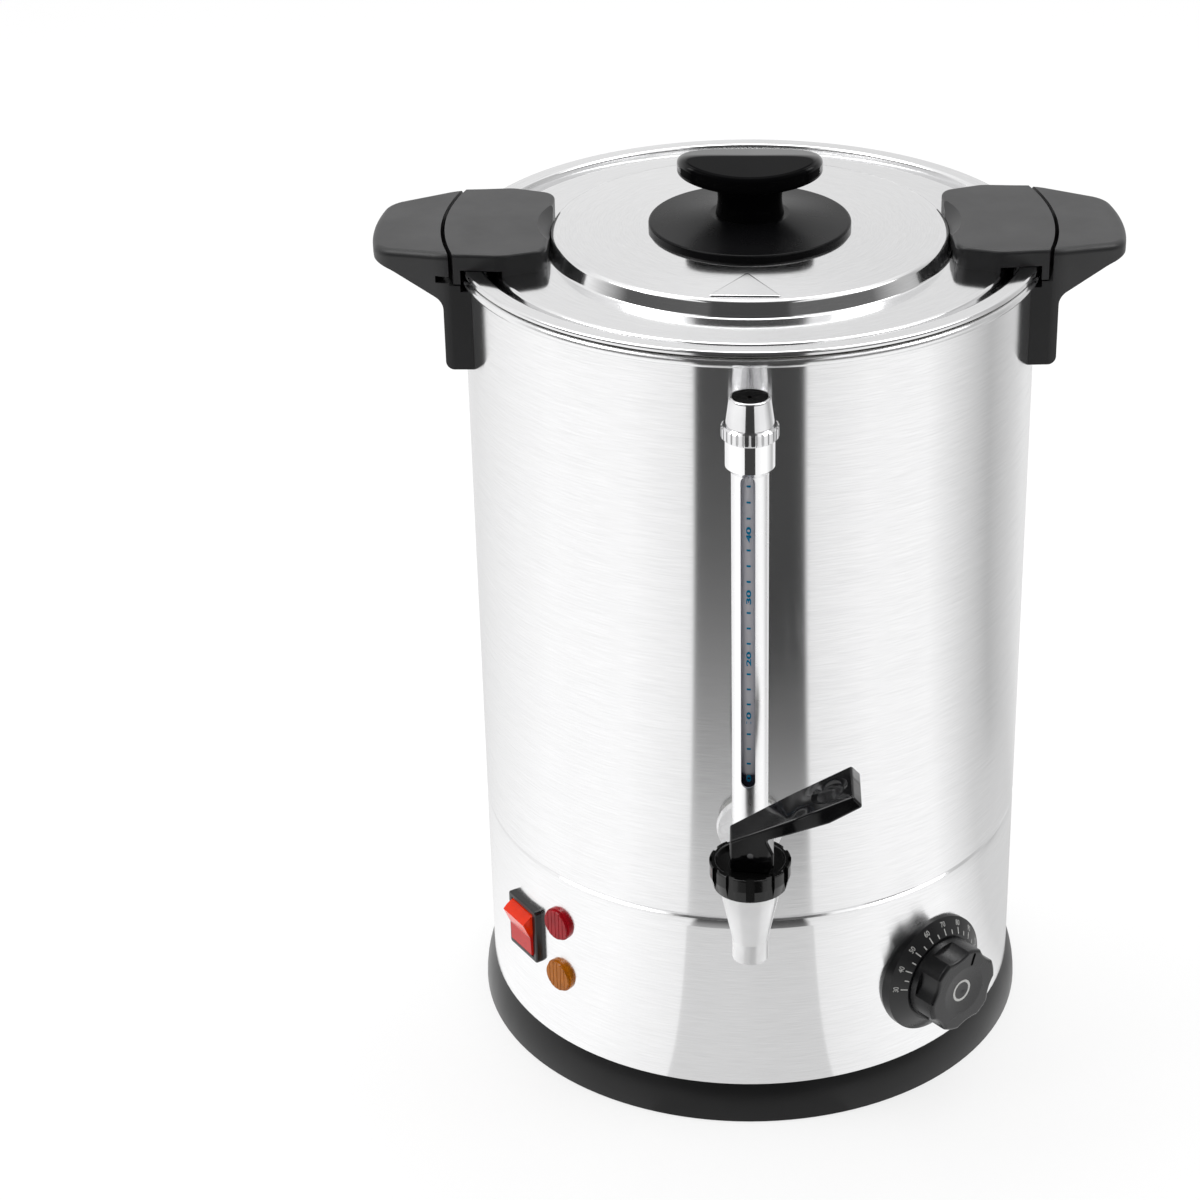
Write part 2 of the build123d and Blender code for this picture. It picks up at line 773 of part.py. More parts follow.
with BuildPart() as lid_lug_left:
    # Plan outline: hips beside the gutter and a narrower inner end; the outer end is an arc.
    with BuildSketch(Plane.XY.offset(tab_low)):
        with BuildLine():
            lug_hip = (tab_outer + lug_waist) / 2
            FilletPolyline(
                (-tab_outer, grip_half_width),
                (-lug_hip, grip_half_width + lug_hip_swell),
                (-lug_waist, lug_waist_half),
                (-lug_inner, lug_inner_half),
                (-lug_inner, -lug_inner_half),
                (-lug_waist, -lug_waist_half),
                (-lug_hip, -grip_half_width - lug_hip_swell),
                (-tab_outer, -grip_half_width),
                radius=(
                    lug_hip_corner, lug_waist_corner, lug_corner,
                    lug_corner, lug_waist_corner, lug_hip_corner,
                ),
            )
            Line((-tab_outer, -grip_half_width), (-tab_outer, grip_half_width))
        make_face()
        Circle(tab_outer, mode=Mode.INTERSECT)
    extrude(amount=grip_top - tab_low)
    crown = lid_lug_left.faces().sort_by(Axis.Z)[-1]
    fillet(crown.edges().sort_by(Axis.X)[1:], grip_edge)
    # Thumb scoop in the inner top edge, a crescent of a cone.
    scoop_widening = scoop_depth / tan(radians(scoop_slope))
    with Locations((-scoop_at, scoop_aside, grip_top)):
        Cone(
            scoop_radius - scoop_widening, scoop_radius + scoop_widening, 2 * scoop_depth,
            mode=Mode.SUBTRACT,
        )
    # Underside: only the tab hangs outside the rim, and the middle clears gutter and flange.
    cut_inside(tab_inner, tab_low, lid_ledge_top)
    with BuildSketch(Plane.XY.offset(lid_ledge_top)):
        Circle(tab_inner)
        Circle(bridge_start, mode=Mode.SUBTRACT)
    extrude(amount=lug_bridge - lid_ledge_top, mode=Mode.SUBTRACT)
    with BuildSketch(Plane.XY.offset(lid_ledge_top)):
        Circle(flank_foot)
    extrude(
        amount=panel_rise,
        taper=degrees(asin((flank_foot - flank_top) / panel_rise)),
        mode=Mode.SUBTRACT,
    )
    with BuildSketch(Plane.XY.offset(lid_ledge_top)):
        with Locations(*left_lug_screws):
            Circle(screw_shank + fit_gap)
    extrude(amount=lug_screw_length, mode=Mode.SUBTRACT)
lid_lug_left.part.label = "lid_lug_left"

with BuildPart() as lid_lug_right:
    add(lid_lug_left.part, rotation=(0, 0, right_side))
lid_lug_right.part.label = "lid_lug_right"

with BuildPart() as lid_lug_screws:
    with BuildSketch(Plane.XY.offset(lid_ledge_top - sheet)):
        with Locations(*lug_screw_places):
            Circle(screw_head)
    extrude(amount=-screw_head_height)
    with BuildSketch(Plane.XY.offset(lid_ledge_top - sheet)):
        with Locations(*lug_screw_places):
            Circle(screw_shank)
    extrude(amount=sheet + lug_screw_length - fit_gap)
lid_lug_screws.part.label = "lid_lug_screws"

# ---- Handles: a leg against the tank and a flared grip level with the lid's lug -------------
leg_outer = shell_radius + leg_thickness
grip_outer = shell_radius + grip_reach
bend_height = elbow_height + underside_bend * tan(radians(underside_slope))
tip_low = bend_height + (grip_outer - leg_outer - underside_bend) * tan(radians(underside_tip_slope))
tip_top = grip_top - (grip_outer - grip_droop_start) * tan(radians(grip_droop))
back_reach = shell_radius - grip_half_width / 3
crown_back = grip_top + (grip_droop_start - back_reach) * tan(radians(grip_droop))
screw_seat = leg_outer - screw_head_height - 2 * fit_gap

with BuildPart() as handle_left:
    with BuildSketch(Plane.XZ):
        with BuildLine():
            FilletPolyline(
                (-back_reach, leg_low),
                (-leg_outer, leg_low),
                (-leg_outer, elbow_height),
                (-leg_outer - underside_bend, bend_height),
                (-grip_outer, tip_low),
                (-grip_outer, tip_top),
                (-back_reach, crown_back),
                radius=(leg_corner, elbow_radius, underside_bend_radius, grip_tip_under, 0),
            )
            Line((-back_reach, crown_back), (-back_reach, leg_low))
        make_face()
    extrude(amount=2 * grip_half_width, both=True)
    # Plan outline: straight beside the leg, tapering to a bowed tip with round corners.
    with BuildSketch(Plane.XY.offset(leg_low)) as grip_plan:
        with BuildLine():
            tip_corner = (-shell_radius - grip_tip_at, grip_tip_half)
            bow = ThreePointArc(
                tip_corner, (-grip_outer, 0), (-shell_radius - grip_tip_at, -grip_tip_half)
            )
            Polyline(
                bow @ 1,
                (-leg_outer, -grip_half_width),
                (-back_reach, -grip_half_width),
                (-back_reach, grip_half_width),
                (-leg_outer, grip_half_width),
                bow @ 0,
            )
        make_face()
        fillet(grip_plan.vertices().group_by(Axis.X)[0], grip_tip_corner)
        for end in (-grip_half_width, grip_half_width):
            leg_edge = grip_plan.vertices().sort_by_distance((-leg_outer, end, leg_low))[0]
            fillet(leg_edge, grip_leg_corner)
    extrude(amount=crown_back - leg_low, mode=Mode.INTERSECT)
    crown = handle_left.faces().sort_by(Axis.Z)[-1]
    fillet(crown.edges().sort_by(Axis.X)[:-1], handle_edge)
    # Back: against the shell below the rim, clear of the rolled rim, then open to the lug's tab.
    cut_inside(shell_radius, leg_low, crown_back)
    cut_inside(bead_radius + rim_bead + 3 * free_gap, rim_height - 2.2 * rim_bead, shelf_height)
    cut_inside(handle_inner, shelf_height, crown_back)
    # Bayonet notch in the inner face, open at the front end.
    with BuildSketch(Plane.XZ.offset(grip_half_width - notch_length)):
        with Locations((-notch_outer, notch_low)):
            Rectangle(notch_outer - back_reach, notch_height, align=MIN_MIN)
    extrude(amount=2 * notch_length, mode=Mode.SUBTRACT)
    # Pocket for the bracket, and the screws' holes with their sunk heads.
    with BuildSketch(Plane.XY.offset(handle_screw_at - bracket_height / 2 - fit_gap)):
        Circle(shell_radius + bracket_thickness + fit_gap)
        Rectangle(3 * shell_radius, 2 * (bracket_half + fit_gap), mode=Mode.INTERSECT)
    extrude(amount=bracket_height + 2 * fit_gap, mode=Mode.SUBTRACT)
    with BuildSketch(Plane.YZ.offset(-leg_outer)):
        with Locations((-handle_screw_spread, handle_screw_at), (handle_screw_spread, handle_screw_at)):
            Circle(screw_shank + fit_gap)
    extrude(amount=leg_outer - back_reach, mode=Mode.SUBTRACT)
    with BuildSketch(Plane.YZ.offset(-leg_outer)):
        with Locations((-handle_screw_spread, handle_screw_at), (handle_screw_spread, handle_screw_at)):
            Circle(screw_head + fit_gap)
    extrude(amount=leg_outer - screw_seat, mode=Mode.SUBTRACT)
handle_left.part.label = "handle_left"

with BuildPart() as handle_right:
    add(handle_left.part, rotation=(0, 0, right_side))
handle_right.part.label = "handle_right"

with BuildPart() as handle_brackets:
    with BuildSketch(Plane.XY.offset(handle_screw_at - bracket_height / 2)):
        Circle(shell_radius + bracket_thickness)
        Circle(shell_radius, mode=Mode.SUBTRACT)
        Rectangle(2 * shell_radius, 2 * bracket_half, align=(Align.MAX, Align.CENTER), mode=Mode.INTERSECT)
    extrude(amount=bracket_height)
    with BuildSketch(Plane.YZ):
        with Locations((-handle_screw_spread, handle_screw_at), (handle_screw_spread, handle_screw_at)):
            Circle(screw_shank + fit_gap)
    extrude(amount=-leg_outer, mode=Mode.SUBTRACT)
    add(handle_brackets.part.rotate(Axis.Z, right_side))
handle_brackets.part.label = "handle_brackets"

with BuildPart() as handle_screws:
    screw_tip = shell_depth(shell_radius + free_gap, handle_screw_spread)
    for radius, reach in ((screw_head, screw_head_height), (screw_shank, screw_tip - screw_seat)):
        with BuildSketch(Plane.YZ.offset(-screw_seat)):
            with Locations((-handle_screw_spread, handle_screw_at), (handle_screw_spread, handle_screw_at)):
                Circle(radius)
        extrude(amount=-reach)
    add(handle_screws.part.rotate(Axis.Z, right_side))
handle_screws.part.label = "handle_screws"

# ---- Tap shank: threaded tube through the wall, with the socket of the gauge ----------------
shank_inner_end = shell_radius - shank_inside
arm_end = tap_distance - arm_back
flange_back = shell_radius + outer_washer
glass_low = gauge_low + glass_seat

with BuildPart() as tap_shank:
    with BuildSketch(Plane.XZ.offset(shank_inner_end)):
        with Locations((0, shank_height)):
            Circle(shank_radius)
    extrude(amount=arm_end - shank_inner_end)
    with BuildSketch(Plane.XZ.offset(flange_back)):
        with Locations((0, shank_height)):
            Circle(flange_radius)
    extrude(amount=flange_thickness, taper=12)
    with BuildSketch(Plane.XY.offset(shank_height)):
        with Locations((0, -gauge_distance)):
            Circle(guard_radius)
    extrude(amount=boss_height)
    with BuildSketch(Plane.XY.offset(gauge_low)):
        with Locations((0, -gauge_distance)):
            Circle(guard_radius - guard_wall - fit_gap)
    extrude(amount=boss_spigot)
    with BuildSketch(Plane.XZ.offset(shank_inner_end)):
        with Locations((0, shank_height)):
            Circle(shank_bore)
    extrude(amount=arm_end - shank_inner_end, mode=Mode.SUBTRACT)
    with BuildSketch(Plane.XZ.offset(arm_end - arm_spigot_length)):
        with Locations((0, shank_height)):
            Circle(arm_spigot_radius + fit_gap)
    extrude(amount=arm_spigot_length, mode=Mode.SUBTRACT)
    with BuildSketch(Plane.XY.offset(shank_height)):
        with Locations((0, -gauge_distance)):
            Circle(glass_radius - glass_wall)
    extrude(amount=boss_height, mode=Mode.SUBTRACT)
    with BuildSketch(Plane.XY.offset(glass_low)):
        with Locations((0, -gauge_distance)):
            Circle(glass_radius + fit_gap + seal_wall)
    extrude(amount=boss_spigot, mode=Mode.SUBTRACT)
tap_shank.part.label = "tap_shank"

with BuildPart() as tap_washers:
    # Silicone washers that follow the tank's wall, one on each side of it.
    washer_back = tank_inner - inner_washer
    with BuildSketch(Plane.XZ.offset(washer_back)):
        with Locations((0, shank_height)):
            Circle(flange_radius - washer_inset)
            Circle(shank_radius + fit_gap, mode=Mode.SUBTRACT)
    extrude(amount=flange_back - washer_back)
    with BuildSketch(Plane.XY.offset(shank_height - flange_radius)):
        Circle(shell_radius)
        Circle(tank_inner, mode=Mode.SUBTRACT)
    extrude(amount=2 * flange_radius, mode=Mode.SUBTRACT)
tap_washers.part.label = "tap_washers"

with BuildPart() as tap_nut:
    with BuildSketch(Plane.XZ.offset(washer_back)):
        with Locations((0, shank_height)):
            RegularPolygon(nut_width / 2, 6, major_radius=False)
            Circle(shank_radius + fit_gap, mode=Mode.SUBTRACT)
    extrude(amount=-nut_thickness)
tap_nut.part.label = "tap_nut"

# ---- Sight gauge: guard tube with a window, glass, seals, knurled cap and vent plug ---------
guard_top = gauge_low + guard_length
collar_low = guard_top + guard_taper
collar_top = collar_low + collar_height
spigot_top = collar_top + cap_spigot_height
glass_top = spigot_top - glass_drop
cap_bottom = collar_top + free_gap
cap_shoulder_height = cap_bottom + knurl_height
gauge_cap_peak = cap_bottom + gauge_cap_height

with BuildPart() as gauge_guard:
    with BuildSketch(gauge_plane):
        with BuildLine():
            Polyline(
                (guard_radius - guard_wall, gauge_low),
                (guard_radius, gauge_low),
                (guard_radius, guard_top),
                (collar_radius, collar_low),
                (collar_radius, collar_top),
                (cap_spigot_radius, collar_top),
                (cap_spigot_radius, spigot_top),
                (guard_radius - guard_wall, spigot_top),
                close=True,
            )
        make_face()
    revolve(axis=gauge_axis)
    slot_low = gauge_low + slot_start
    slot_high = guard_top + slot_end
    slot_middle = (slot_low + slot_high) / 2
    with BuildSketch(facing_plane(slot_turn, slot_middle, 0, -gauge_distance)):
        SlotOverall(slot_high - slot_low, slot_width, rotation=90)
    extrude(amount=2 * guard_radius, mode=Mode.SUBTRACT)
gauge_guard.part.label = "gauge_guard"

with BuildPart() as gauge_glass:
    with BuildSketch(Plane.XY.offset(glass_low)):
        with Locations((0, -gauge_distance)):
            Circle(glass_radius)
            Circle(glass_radius - glass_wall, mode=Mode.SUBTRACT)
    extrude(amount=glass_top - glass_low)
gauge_glass.part.label = "gauge_glass"

with BuildPart() as gauge_seals:
    with BuildSketch(Plane.XY.offset(glass_low)):
        with Locations((0, -gauge_distance)):
            Circle(glass_radius + fit_gap + seal_wall)
            Circle(glass_radius, mode=Mode.SUBTRACT)
    extrude(amount=seal_sleeve)
    with BuildSketch(Plane.XY.offset(spigot_top - seal_sleeve)):
        with Locations((0, -gauge_distance)):
            Circle(guard_radius - guard_wall)
            Circle(glass_radius, mode=Mode.SUBTRACT)
    extrude(amount=seal_sleeve - glass_seat)
gauge_seals.part.label = "gauge_seals"

with BuildPart() as gauge_cap:
    plug_low = gauge_cap_peak - vent_plug_height
    bore_top = spigot_top + 2 * free_gap
    with BuildSketch(gauge_plane):
        with BuildLine():
            Polyline(
                (cap_spigot_radius + running_gap, cap_bottom),
                (knurl_radius, cap_bottom),
                (knurl_radius, cap_shoulder_height),
                (gauge_cap_shoulder, cap_shoulder_height),
                (gauge_cap_top, gauge_cap_peak),
                (vent_plug_radius + fit_gap, gauge_cap_peak),
                (vent_plug_radius + fit_gap, plug_low),
                (2 * vent_hole, plug_low),
                (2 * vent_hole, bore_top),
                (cap_spigot_radius + running_gap, bore_top),
                close=True,
            )
        make_face()
    revolve(axis=gauge_axis)
    cap_rings = gauge_cap.edges().filter_by(GeomType.CIRCLE).sort_by(SortBy.RADIUS)
    chamfer(cap_rings[-2:], knurl_edge)
    cap_crown = gauge_cap.edges().filter_by(GeomType.CIRCLE).group_by(Axis.Z)[-1]
    fillet(cap_crown.sort_by(SortBy.RADIUS)[-1], gauge_cap_edge)
    with BuildSketch(Plane.XY.offset(cap_bottom)):
        with Locations((0, -gauge_distance)):
            with PolarLocations(knurl_radius, knurl_count):
                Circle(knurl_groove)
    extrude(amount=knurl_height, mode=Mode.SUBTRACT)
gauge_cap.part.label = "gauge_cap"

with BuildPart() as vent_plug:
    with BuildSketch(Plane.XY.offset(plug_low)):
        with Locations((0, -gauge_distance)):
            Circle(vent_plug_radius)
            Circle(vent_hole, mode=Mode.SUBTRACT)
    extrude(amount=vent_plug_height - free_gap)
vent_plug.part.label = "vent_plug"

# ---- Tap body: cone with a side arm, a chamber over the outlet and a threaded mouth ---------
thread_top = bonnet_plate_low - free_gap
body_top = bonnet_low - free_gap

with BuildPart() as tap_body:
    with BuildSketch(tap_plane):
        with BuildLine():
            Polyline(
                (0, spout_low),
                (spout_radius, spout_low),
                (spout_radius, spout_low + spout_length),
                (body_radius, body_top),
                (body_thread_radius, body_top),
                (body_thread_radius, thread_top),
                (0, thread_top),
                close=True,
            )
        make_face()
    revolve(axis=tap_axis)
    with BuildSketch(Plane.XZ.offset(arm_end)):
        with Locations((0, shank_height)):
            Circle(arm_radius)
    extrude(amount=tap_distance - arm_end)
    with BuildSketch(Plane.XZ.offset(arm_end)):
        with Locations((0, shank_height)):
            Circle(arm_spigot_radius)
    extrude(amount=-arm_spigot_length + fit_gap)
    with BuildSketch(Plane.XZ.offset(arm_end - arm_spigot_length)):
        with Locations((0, shank_height)):
            Circle(arm_bore)
    extrude(amount=tap_distance - arm_end + arm_spigot_length, mode=Mode.SUBTRACT)
    with BuildSketch(Plane.XY.offset(seat_height)):
        with Locations((0, -tap_distance)):
            Circle(chamber_radius)
    extrude(amount=thread_top - seat_height, mode=Mode.SUBTRACT)
    with BuildSketch(Plane.XY.offset(spout_low)):
        with Locations((0, -tap_distance)):
            Circle(spout_bore)
    extrude(amount=seat_height - spout_low, mode=Mode.SUBTRACT)
tap_body.part.label = "tap_body"

with BuildPart() as tap_bonnet:
    with BuildSketch(tap_plane):
        with BuildLine():
            Polyline(
                (body_thread_radius + running_gap, bonnet_low),
                (bonnet_low_radius, bonnet_low),
                (bonnet_top_radius, bonnet_low + bonnet_height / 2),
                (bonnet_top_radius, bonnet_top),
                (bonnet_recess_radius, bonnet_top),
                (bonnet_recess_radius, bonnet_floor),
                (stem_radius + running_gap, bonnet_floor),
                (stem_radius + running_gap, bonnet_plate_low),
                (body_thread_radius + running_gap, bonnet_plate_low),
                close=True,
            )
        make_face()
    revolve(axis=tap_axis)
    fillet(tap_bonnet.edges().group_by(Axis.Z)[-1], bonnet_edge)
    with BuildSketch(Plane.XY.offset(bonnet_low)):
        with Locations((0, -tap_distance)):
            with PolarLocations(bonnet_top_radius, bonnet_teeth):
                Rectangle(2 * tooth_gap_depth, tooth_gap_width)
    extrude(amount=bonnet_height, mode=Mode.SUBTRACT)
tap_bonnet.part.label = "tap_bonnet"

# ---- Tap works: seat cup, spring, stem with its eye and the lever's pin ---------------------
head_low = cup_low + stem_head_rise
head_top = head_low + stem_head_height

with BuildPart() as seat_cup:
    with BuildSketch(tap_plane):
        with BuildLine():
            Polyline(
                (0, cup_low),
                (seat_cup_radius, cup_low),
                (seat_cup_radius, cup_top),
                (stem_radius + running_gap, cup_top),
                (stem_radius + running_gap, head_top + free_gap),
                (stem_head_radius + free_gap, head_top + free_gap),
                (stem_head_radius + free_gap, head_low - free_gap),
                (0, head_low - free_gap),
                close=True,
            )
        make_face()
    revolve(axis=tap_axis)
seat_cup.part.label = "seat_cup"

with BuildPart() as tap_stem:
    with BuildSketch(Plane.XY.offset(head_low)):
        with Locations((0, -tap_distance)):
            Circle(stem_head_radius)
    extrude(amount=stem_head_height)
    with BuildSketch(Plane.XY.offset(head_low)):
        with Locations((0, -tap_distance)):
            Circle(stem_radius)
    extrude(amount=pin_height - head_low)
    with BuildSketch(tap_plane):
        with Locations((0, pin_height)):
            Circle(eye_radius)
    extrude(amount=eye_thickness / 2, both=True)
    with BuildSketch(tap_plane):
        with Locations((0, pin_height)):
            Circle(pin_radius + running_gap)
    extrude(amount=2 * stem_radius, both=True, mode=Mode.SUBTRACT)
tap_stem.part.label = "tap_stem"

with BuildPart() as tap_spring:
    spring_height = bonnet_plate_low - cup_top - 2 * spring_wire
    with BuildLine():
        coil = Helix(
            pitch=spring_height / spring_turns,
            height=spring_height,
            radius=spring_radius,
            center=(0, -tap_distance, cup_top + spring_wire),
        )
    with BuildSketch(Plane(origin=coil @ 0, z_dir=coil % 0)):
        Circle(spring_wire)
    sweep()
tap_spring.part.label = "tap_spring"

pin_half_length = lever_back_half + pin_overhang

with BuildPart() as lever_pin:
    with BuildSketch(tap_plane):
        with Locations((0, pin_height)):
            Circle(pin_radius)
    extrude(amount=pin_half_length, both=True)
lever_pin.part.label = "lever_pin"

# ---- Lever: heel astride the stem's eye and a broad blade with a thumb dish -----------------
lever_low = bonnet_floor + free_gap
tip_top = pin_height + lever_tip_rise
heel_top = pin_height + lever_heel_rise

with BuildPart() as tap_lever:
    with BuildSketch(tap_plane) as lever_side:
        with BuildLine():
            FilletPolyline(
                (-lever_back, lever_low),
                (lever_foot, lever_low),
                (lever_nose, lever_low + lever_nose_low),
                (lever_nose_back, pin_height + lever_nose_top),
                (lever_root, pin_height + lever_blade_root),
                (lever_bend, pin_height + lever_blade_under),
                (lever_reach, pin_height + lever_tip_under),
                (lever_reach - lever_tip_chamfer, tip_top),
                (-lever_back, heel_top),
                radius=lever_corner,
                close=True,
            )
        make_face()
    extrude(amount=lever_tip_half, both=True)
    with BuildSketch(Plane.XY.offset(lever_low)):
        with Locations((0, -tap_distance)):
            Polygon(
                (-lever_back, lever_back_half),
                (-lever_back, -lever_back_half),
                (lever_reach / 3, -lever_mid_half),
                (lever_reach, -lever_tip_half),
                (lever_reach, lever_tip_half),
                (lever_reach / 3, lever_mid_half),
                align=None,
            )
    extrude(amount=tip_top - lever_low, mode=Mode.INTERSECT)
    cheeks = tap_lever.faces().filter_by(lambda face: abs(face.normal_at().Y) > 0.9)
    fillet([edge for cheek in cheeks for edge in cheek.edges()], lever_edge)
    # Slot for the stem and its eye over the lever's whole tilt, the pin's hole and the dish.
    with BuildSketch(tap_plane):
        with Locations((0, pin_height)):
            Circle(eye_radius + free_gap)
            slot_half = stem_radius + free_gap
            drop = 2 * lever_back
            lean = radians(lever_tilt)
            Polygon(
                (-slot_half, 0),
                (-slot_half, -drop),
                (drop * tan(lean) + slot_half / cos(lean), -drop),
                (slot_half * cos(lean), slot_half * sin(lean)),
                align=None,
            )
    extrude(amount=slot_half, both=True, mode=Mode.SUBTRACT)
    with BuildSketch(tap_plane):
        with Locations((0, pin_height)):
            Circle(pin_radius + running_gap)
    extrude(amount=lever_tip_half, both=True, mode=Mode.SUBTRACT)
    top_slope = atan2(tip_top - heel_top, lever_reach - lever_tip_chamfer + lever_back)
    dish_plane = Plane(
        origin=(dish_at, -tap_distance, heel_top + (dish_at + lever_back) * tan(top_slope)),
        x_dir=(0, 1, 0),
        z_dir=(-sin(top_slope), 0, cos(top_slope)),
    )
    with BuildSketch(dish_plane):
        Circle(dish_radius)
    extrude(amount=-dish_depth, taper=dish_taper, mode=Mode.SUBTRACT)
tap_lever.part.label = "tap_lever"

# ---- Dial: coned plate on two posts, thermostat, its bulb and capillary, shaft and knob -----
dial_face = shell_radius + dial_rise
thermostat_face = tank_inner - thermostat_inset
shaft_end = thermostat_face + shaft_length - thermostat_depth / 2
knob_back = dial_face + free_gap
knob_front = knob_back + knob_depth

with BuildPart() as dial_plate:
    with BuildSketch(facing_plane(dial_azimuth, dial_height, shell_radius + dial_rim)):
        Circle(dial_radius)
    extrude(amount=-dial_rim - dial_radius / 2)
    with BuildSketch(facing_plane(dial_azimuth, dial_height, shell_radius + dial_rim)):
        Circle(dial_radius)
    with BuildSketch(facing_plane(dial_azimuth, dial_height, dial_face)):
        Circle(dial_face_radius)
    loft()
    cut_inside(shell_radius, 0, 2 * dial_height)
    with BuildSketch(facing_plane(dial_azimuth, dial_height, thermostat_face)):
        with Locations((-post_spread, 0), (post_spread, 0)):
            Circle(post_radius)
    extrude(amount=dial_face - thermostat_face - 1)
    with BuildSketch(facing_plane(dial_azimuth, dial_height, thermostat_face)):
        Circle(bush_radius + fit_gap)
    extrude(amount=dial_face - thermostat_face, mode=Mode.SUBTRACT)
dial_plate.part.label = "dial_plate"

with BuildPart() as thermostat:
    with BuildSketch(facing_plane(dial_azimuth, dial_height, thermostat_face)):
        RectangleRounded(thermostat_width, thermostat_width, thermostat_corner)
    extrude(amount=-thermostat_depth)
    with BuildSketch(facing_plane(dial_azimuth, dial_height, thermostat_face)):
        Circle(bush_radius)
    extrude(amount=bush_length)
    with BuildSketch(facing_plane(dial_azimuth, dial_height, thermostat_face + bush_length)):
        Circle(shaft_radius + running_gap)
    extrude(amount=-bush_length - thermostat_depth / 2 - free_gap, mode=Mode.SUBTRACT)
thermostat.part.label = "thermostat"

bulb_height = seam_height - bulb_radius
capillary_start = thermostat_face - thermostat_depth / 2
bulb_start = shell_radius - bulb_inset
capillary_turn = bulb_start + bulb_length + bulb_lead
capillary_top = dial_height + thermostat_width / 2 + capillary_rise

with BuildPart() as thermostat_bulb:
    with BuildSketch(facing_plane(dial_azimuth, bulb_height, bulb_start)):
        Circle(bulb_radius)
    extrude(amount=bulb_length)
    with BuildLine(facing_plane(dial_azimuth + 90, 0, 0)) as route:
        FilletPolyline(
            (-capillary_start, dial_height + thermostat_width / 2),
            (-capillary_start, capillary_top),
            (-capillary_turn, capillary_top),
            (-capillary_turn, bulb_height),
            (-capillary_turn + bulb_lead, bulb_height),
            radius=capillary_bend,
        )
    with BuildSketch(Plane(origin=route.line @ 0, z_dir=route.line % 0)):
        Circle(capillary_radius)
    sweep(path=route.line)
thermostat_bulb.part.label = "thermostat_bulb"

with BuildPart() as thermostat_shaft:
    with BuildSketch(facing_plane(dial_azimuth, dial_height, thermostat_face - thermostat_depth / 2)):
        Circle(shaft_radius)
    extrude(amount=shaft_length)
thermostat_shaft.part.label = "thermostat_shaft"

with BuildPart() as dial_knob:
    with BuildSketch(facing_plane(dial_azimuth, dial_height, knob_back)):
        Circle(knob_radius)
    extrude(amount=knob_depth)
    half_chord = flute_width / 2
    chord_sink = knob_radius - shell_depth(knob_radius, half_chord)
    flute_sink = flute_depth - chord_sink
    flute_radius = (half_chord**2 + flute_sink**2) / (2 * flute_sink)
    with BuildSketch(facing_plane(dial_azimuth, dial_height, knob_back + knob_skirt)):
        with PolarLocations(knob_radius - flute_depth + flute_radius, flute_count, flute_start):
            Circle(flute_radius)
    extrude(amount=knob_depth, mode=Mode.SUBTRACT)
    knob_face = dial_knob.faces().sort_by_distance(facing_plane(dial_azimuth, dial_height, knob_front).origin)
    fillet(knob_face[0].edges(), knob_edge)
    dish_ball = (knob_dish_radius**2 + knob_dish_depth**2) / (2 * knob_dish_depth)
    with Locations(facing_plane(dial_azimuth, dial_height, knob_front + dish_ball - knob_dish_depth)):
        Sphere(dish_ball, mode=Mode.SUBTRACT)
    with BuildSketch(facing_plane(dial_azimuth, dial_height, knob_front)):
        with PolarLocations((pointer_start + pointer_end) / 2, 1, pointer_angle):
            SlotOverall(pointer_end - pointer_start, pointer_width)
    extrude(amount=-pointer_depth, mode=Mode.SUBTRACT)
    with BuildSketch(facing_plane(dial_azimuth, dial_height, knob_back)):
        Circle(shaft_radius + fit_gap)
    extrude(amount=shaft_end - knob_back + fit_gap, mode=Mode.SUBTRACT)
dial_knob.part.label = "dial_knob"

# ---- Switch: housing with its bezel, rocker on two trunnions, blades ------------------------
bezel_face = shell_radius + bezel_front
pivot_depth = bezel_face - rocker_pivot
switch_back = bezel_face - switch_body_depth
window_floor = pivot_depth - rocker_back - free_gap - rocker_end_radius * sin(radians(rocker_tilt))

with BuildPart() as switch_housing:
    with BuildSketch(facing_plane(switch_azimuth, switch_height, bezel_face)):
        RectangleRounded(bezel_width, bezel_height, bezel_corner)
    extrude(amount=-bezel_depth)
    fillet(
        switch_housing.faces()
        .sort_by_distance(facing_plane(switch_azimuth, switch_height, bezel_face).origin)[0]
        .edges(),
        bezel_edge,
    )
    cut_inside(shell_radius, 0, 2 * switch_height)
    with BuildSketch(facing_plane(switch_azimuth, switch_height, switch_back)):
        Rectangle(switch_body_width, switch_body_height)
    extrude(amount=switch_body_depth - 1)
    with BuildSketch(facing_plane(switch_azimuth, switch_height, window_floor)):
        Rectangle(window_width, window_height)
    extrude(amount=bezel_face - window_floor, mode=Mode.SUBTRACT)
    with BuildSketch(facing_plane(switch_azimuth + 90, switch_height, 0)):
        with Locations((-pivot_depth, 0)):
            Circle(trunnion_radius + running_gap)
    extrude(amount=window_width / 2 + trunnion_length + fit_gap, both=True, mode=Mode.SUBTRACT)
switch_housing.part.label = "switch_housing"

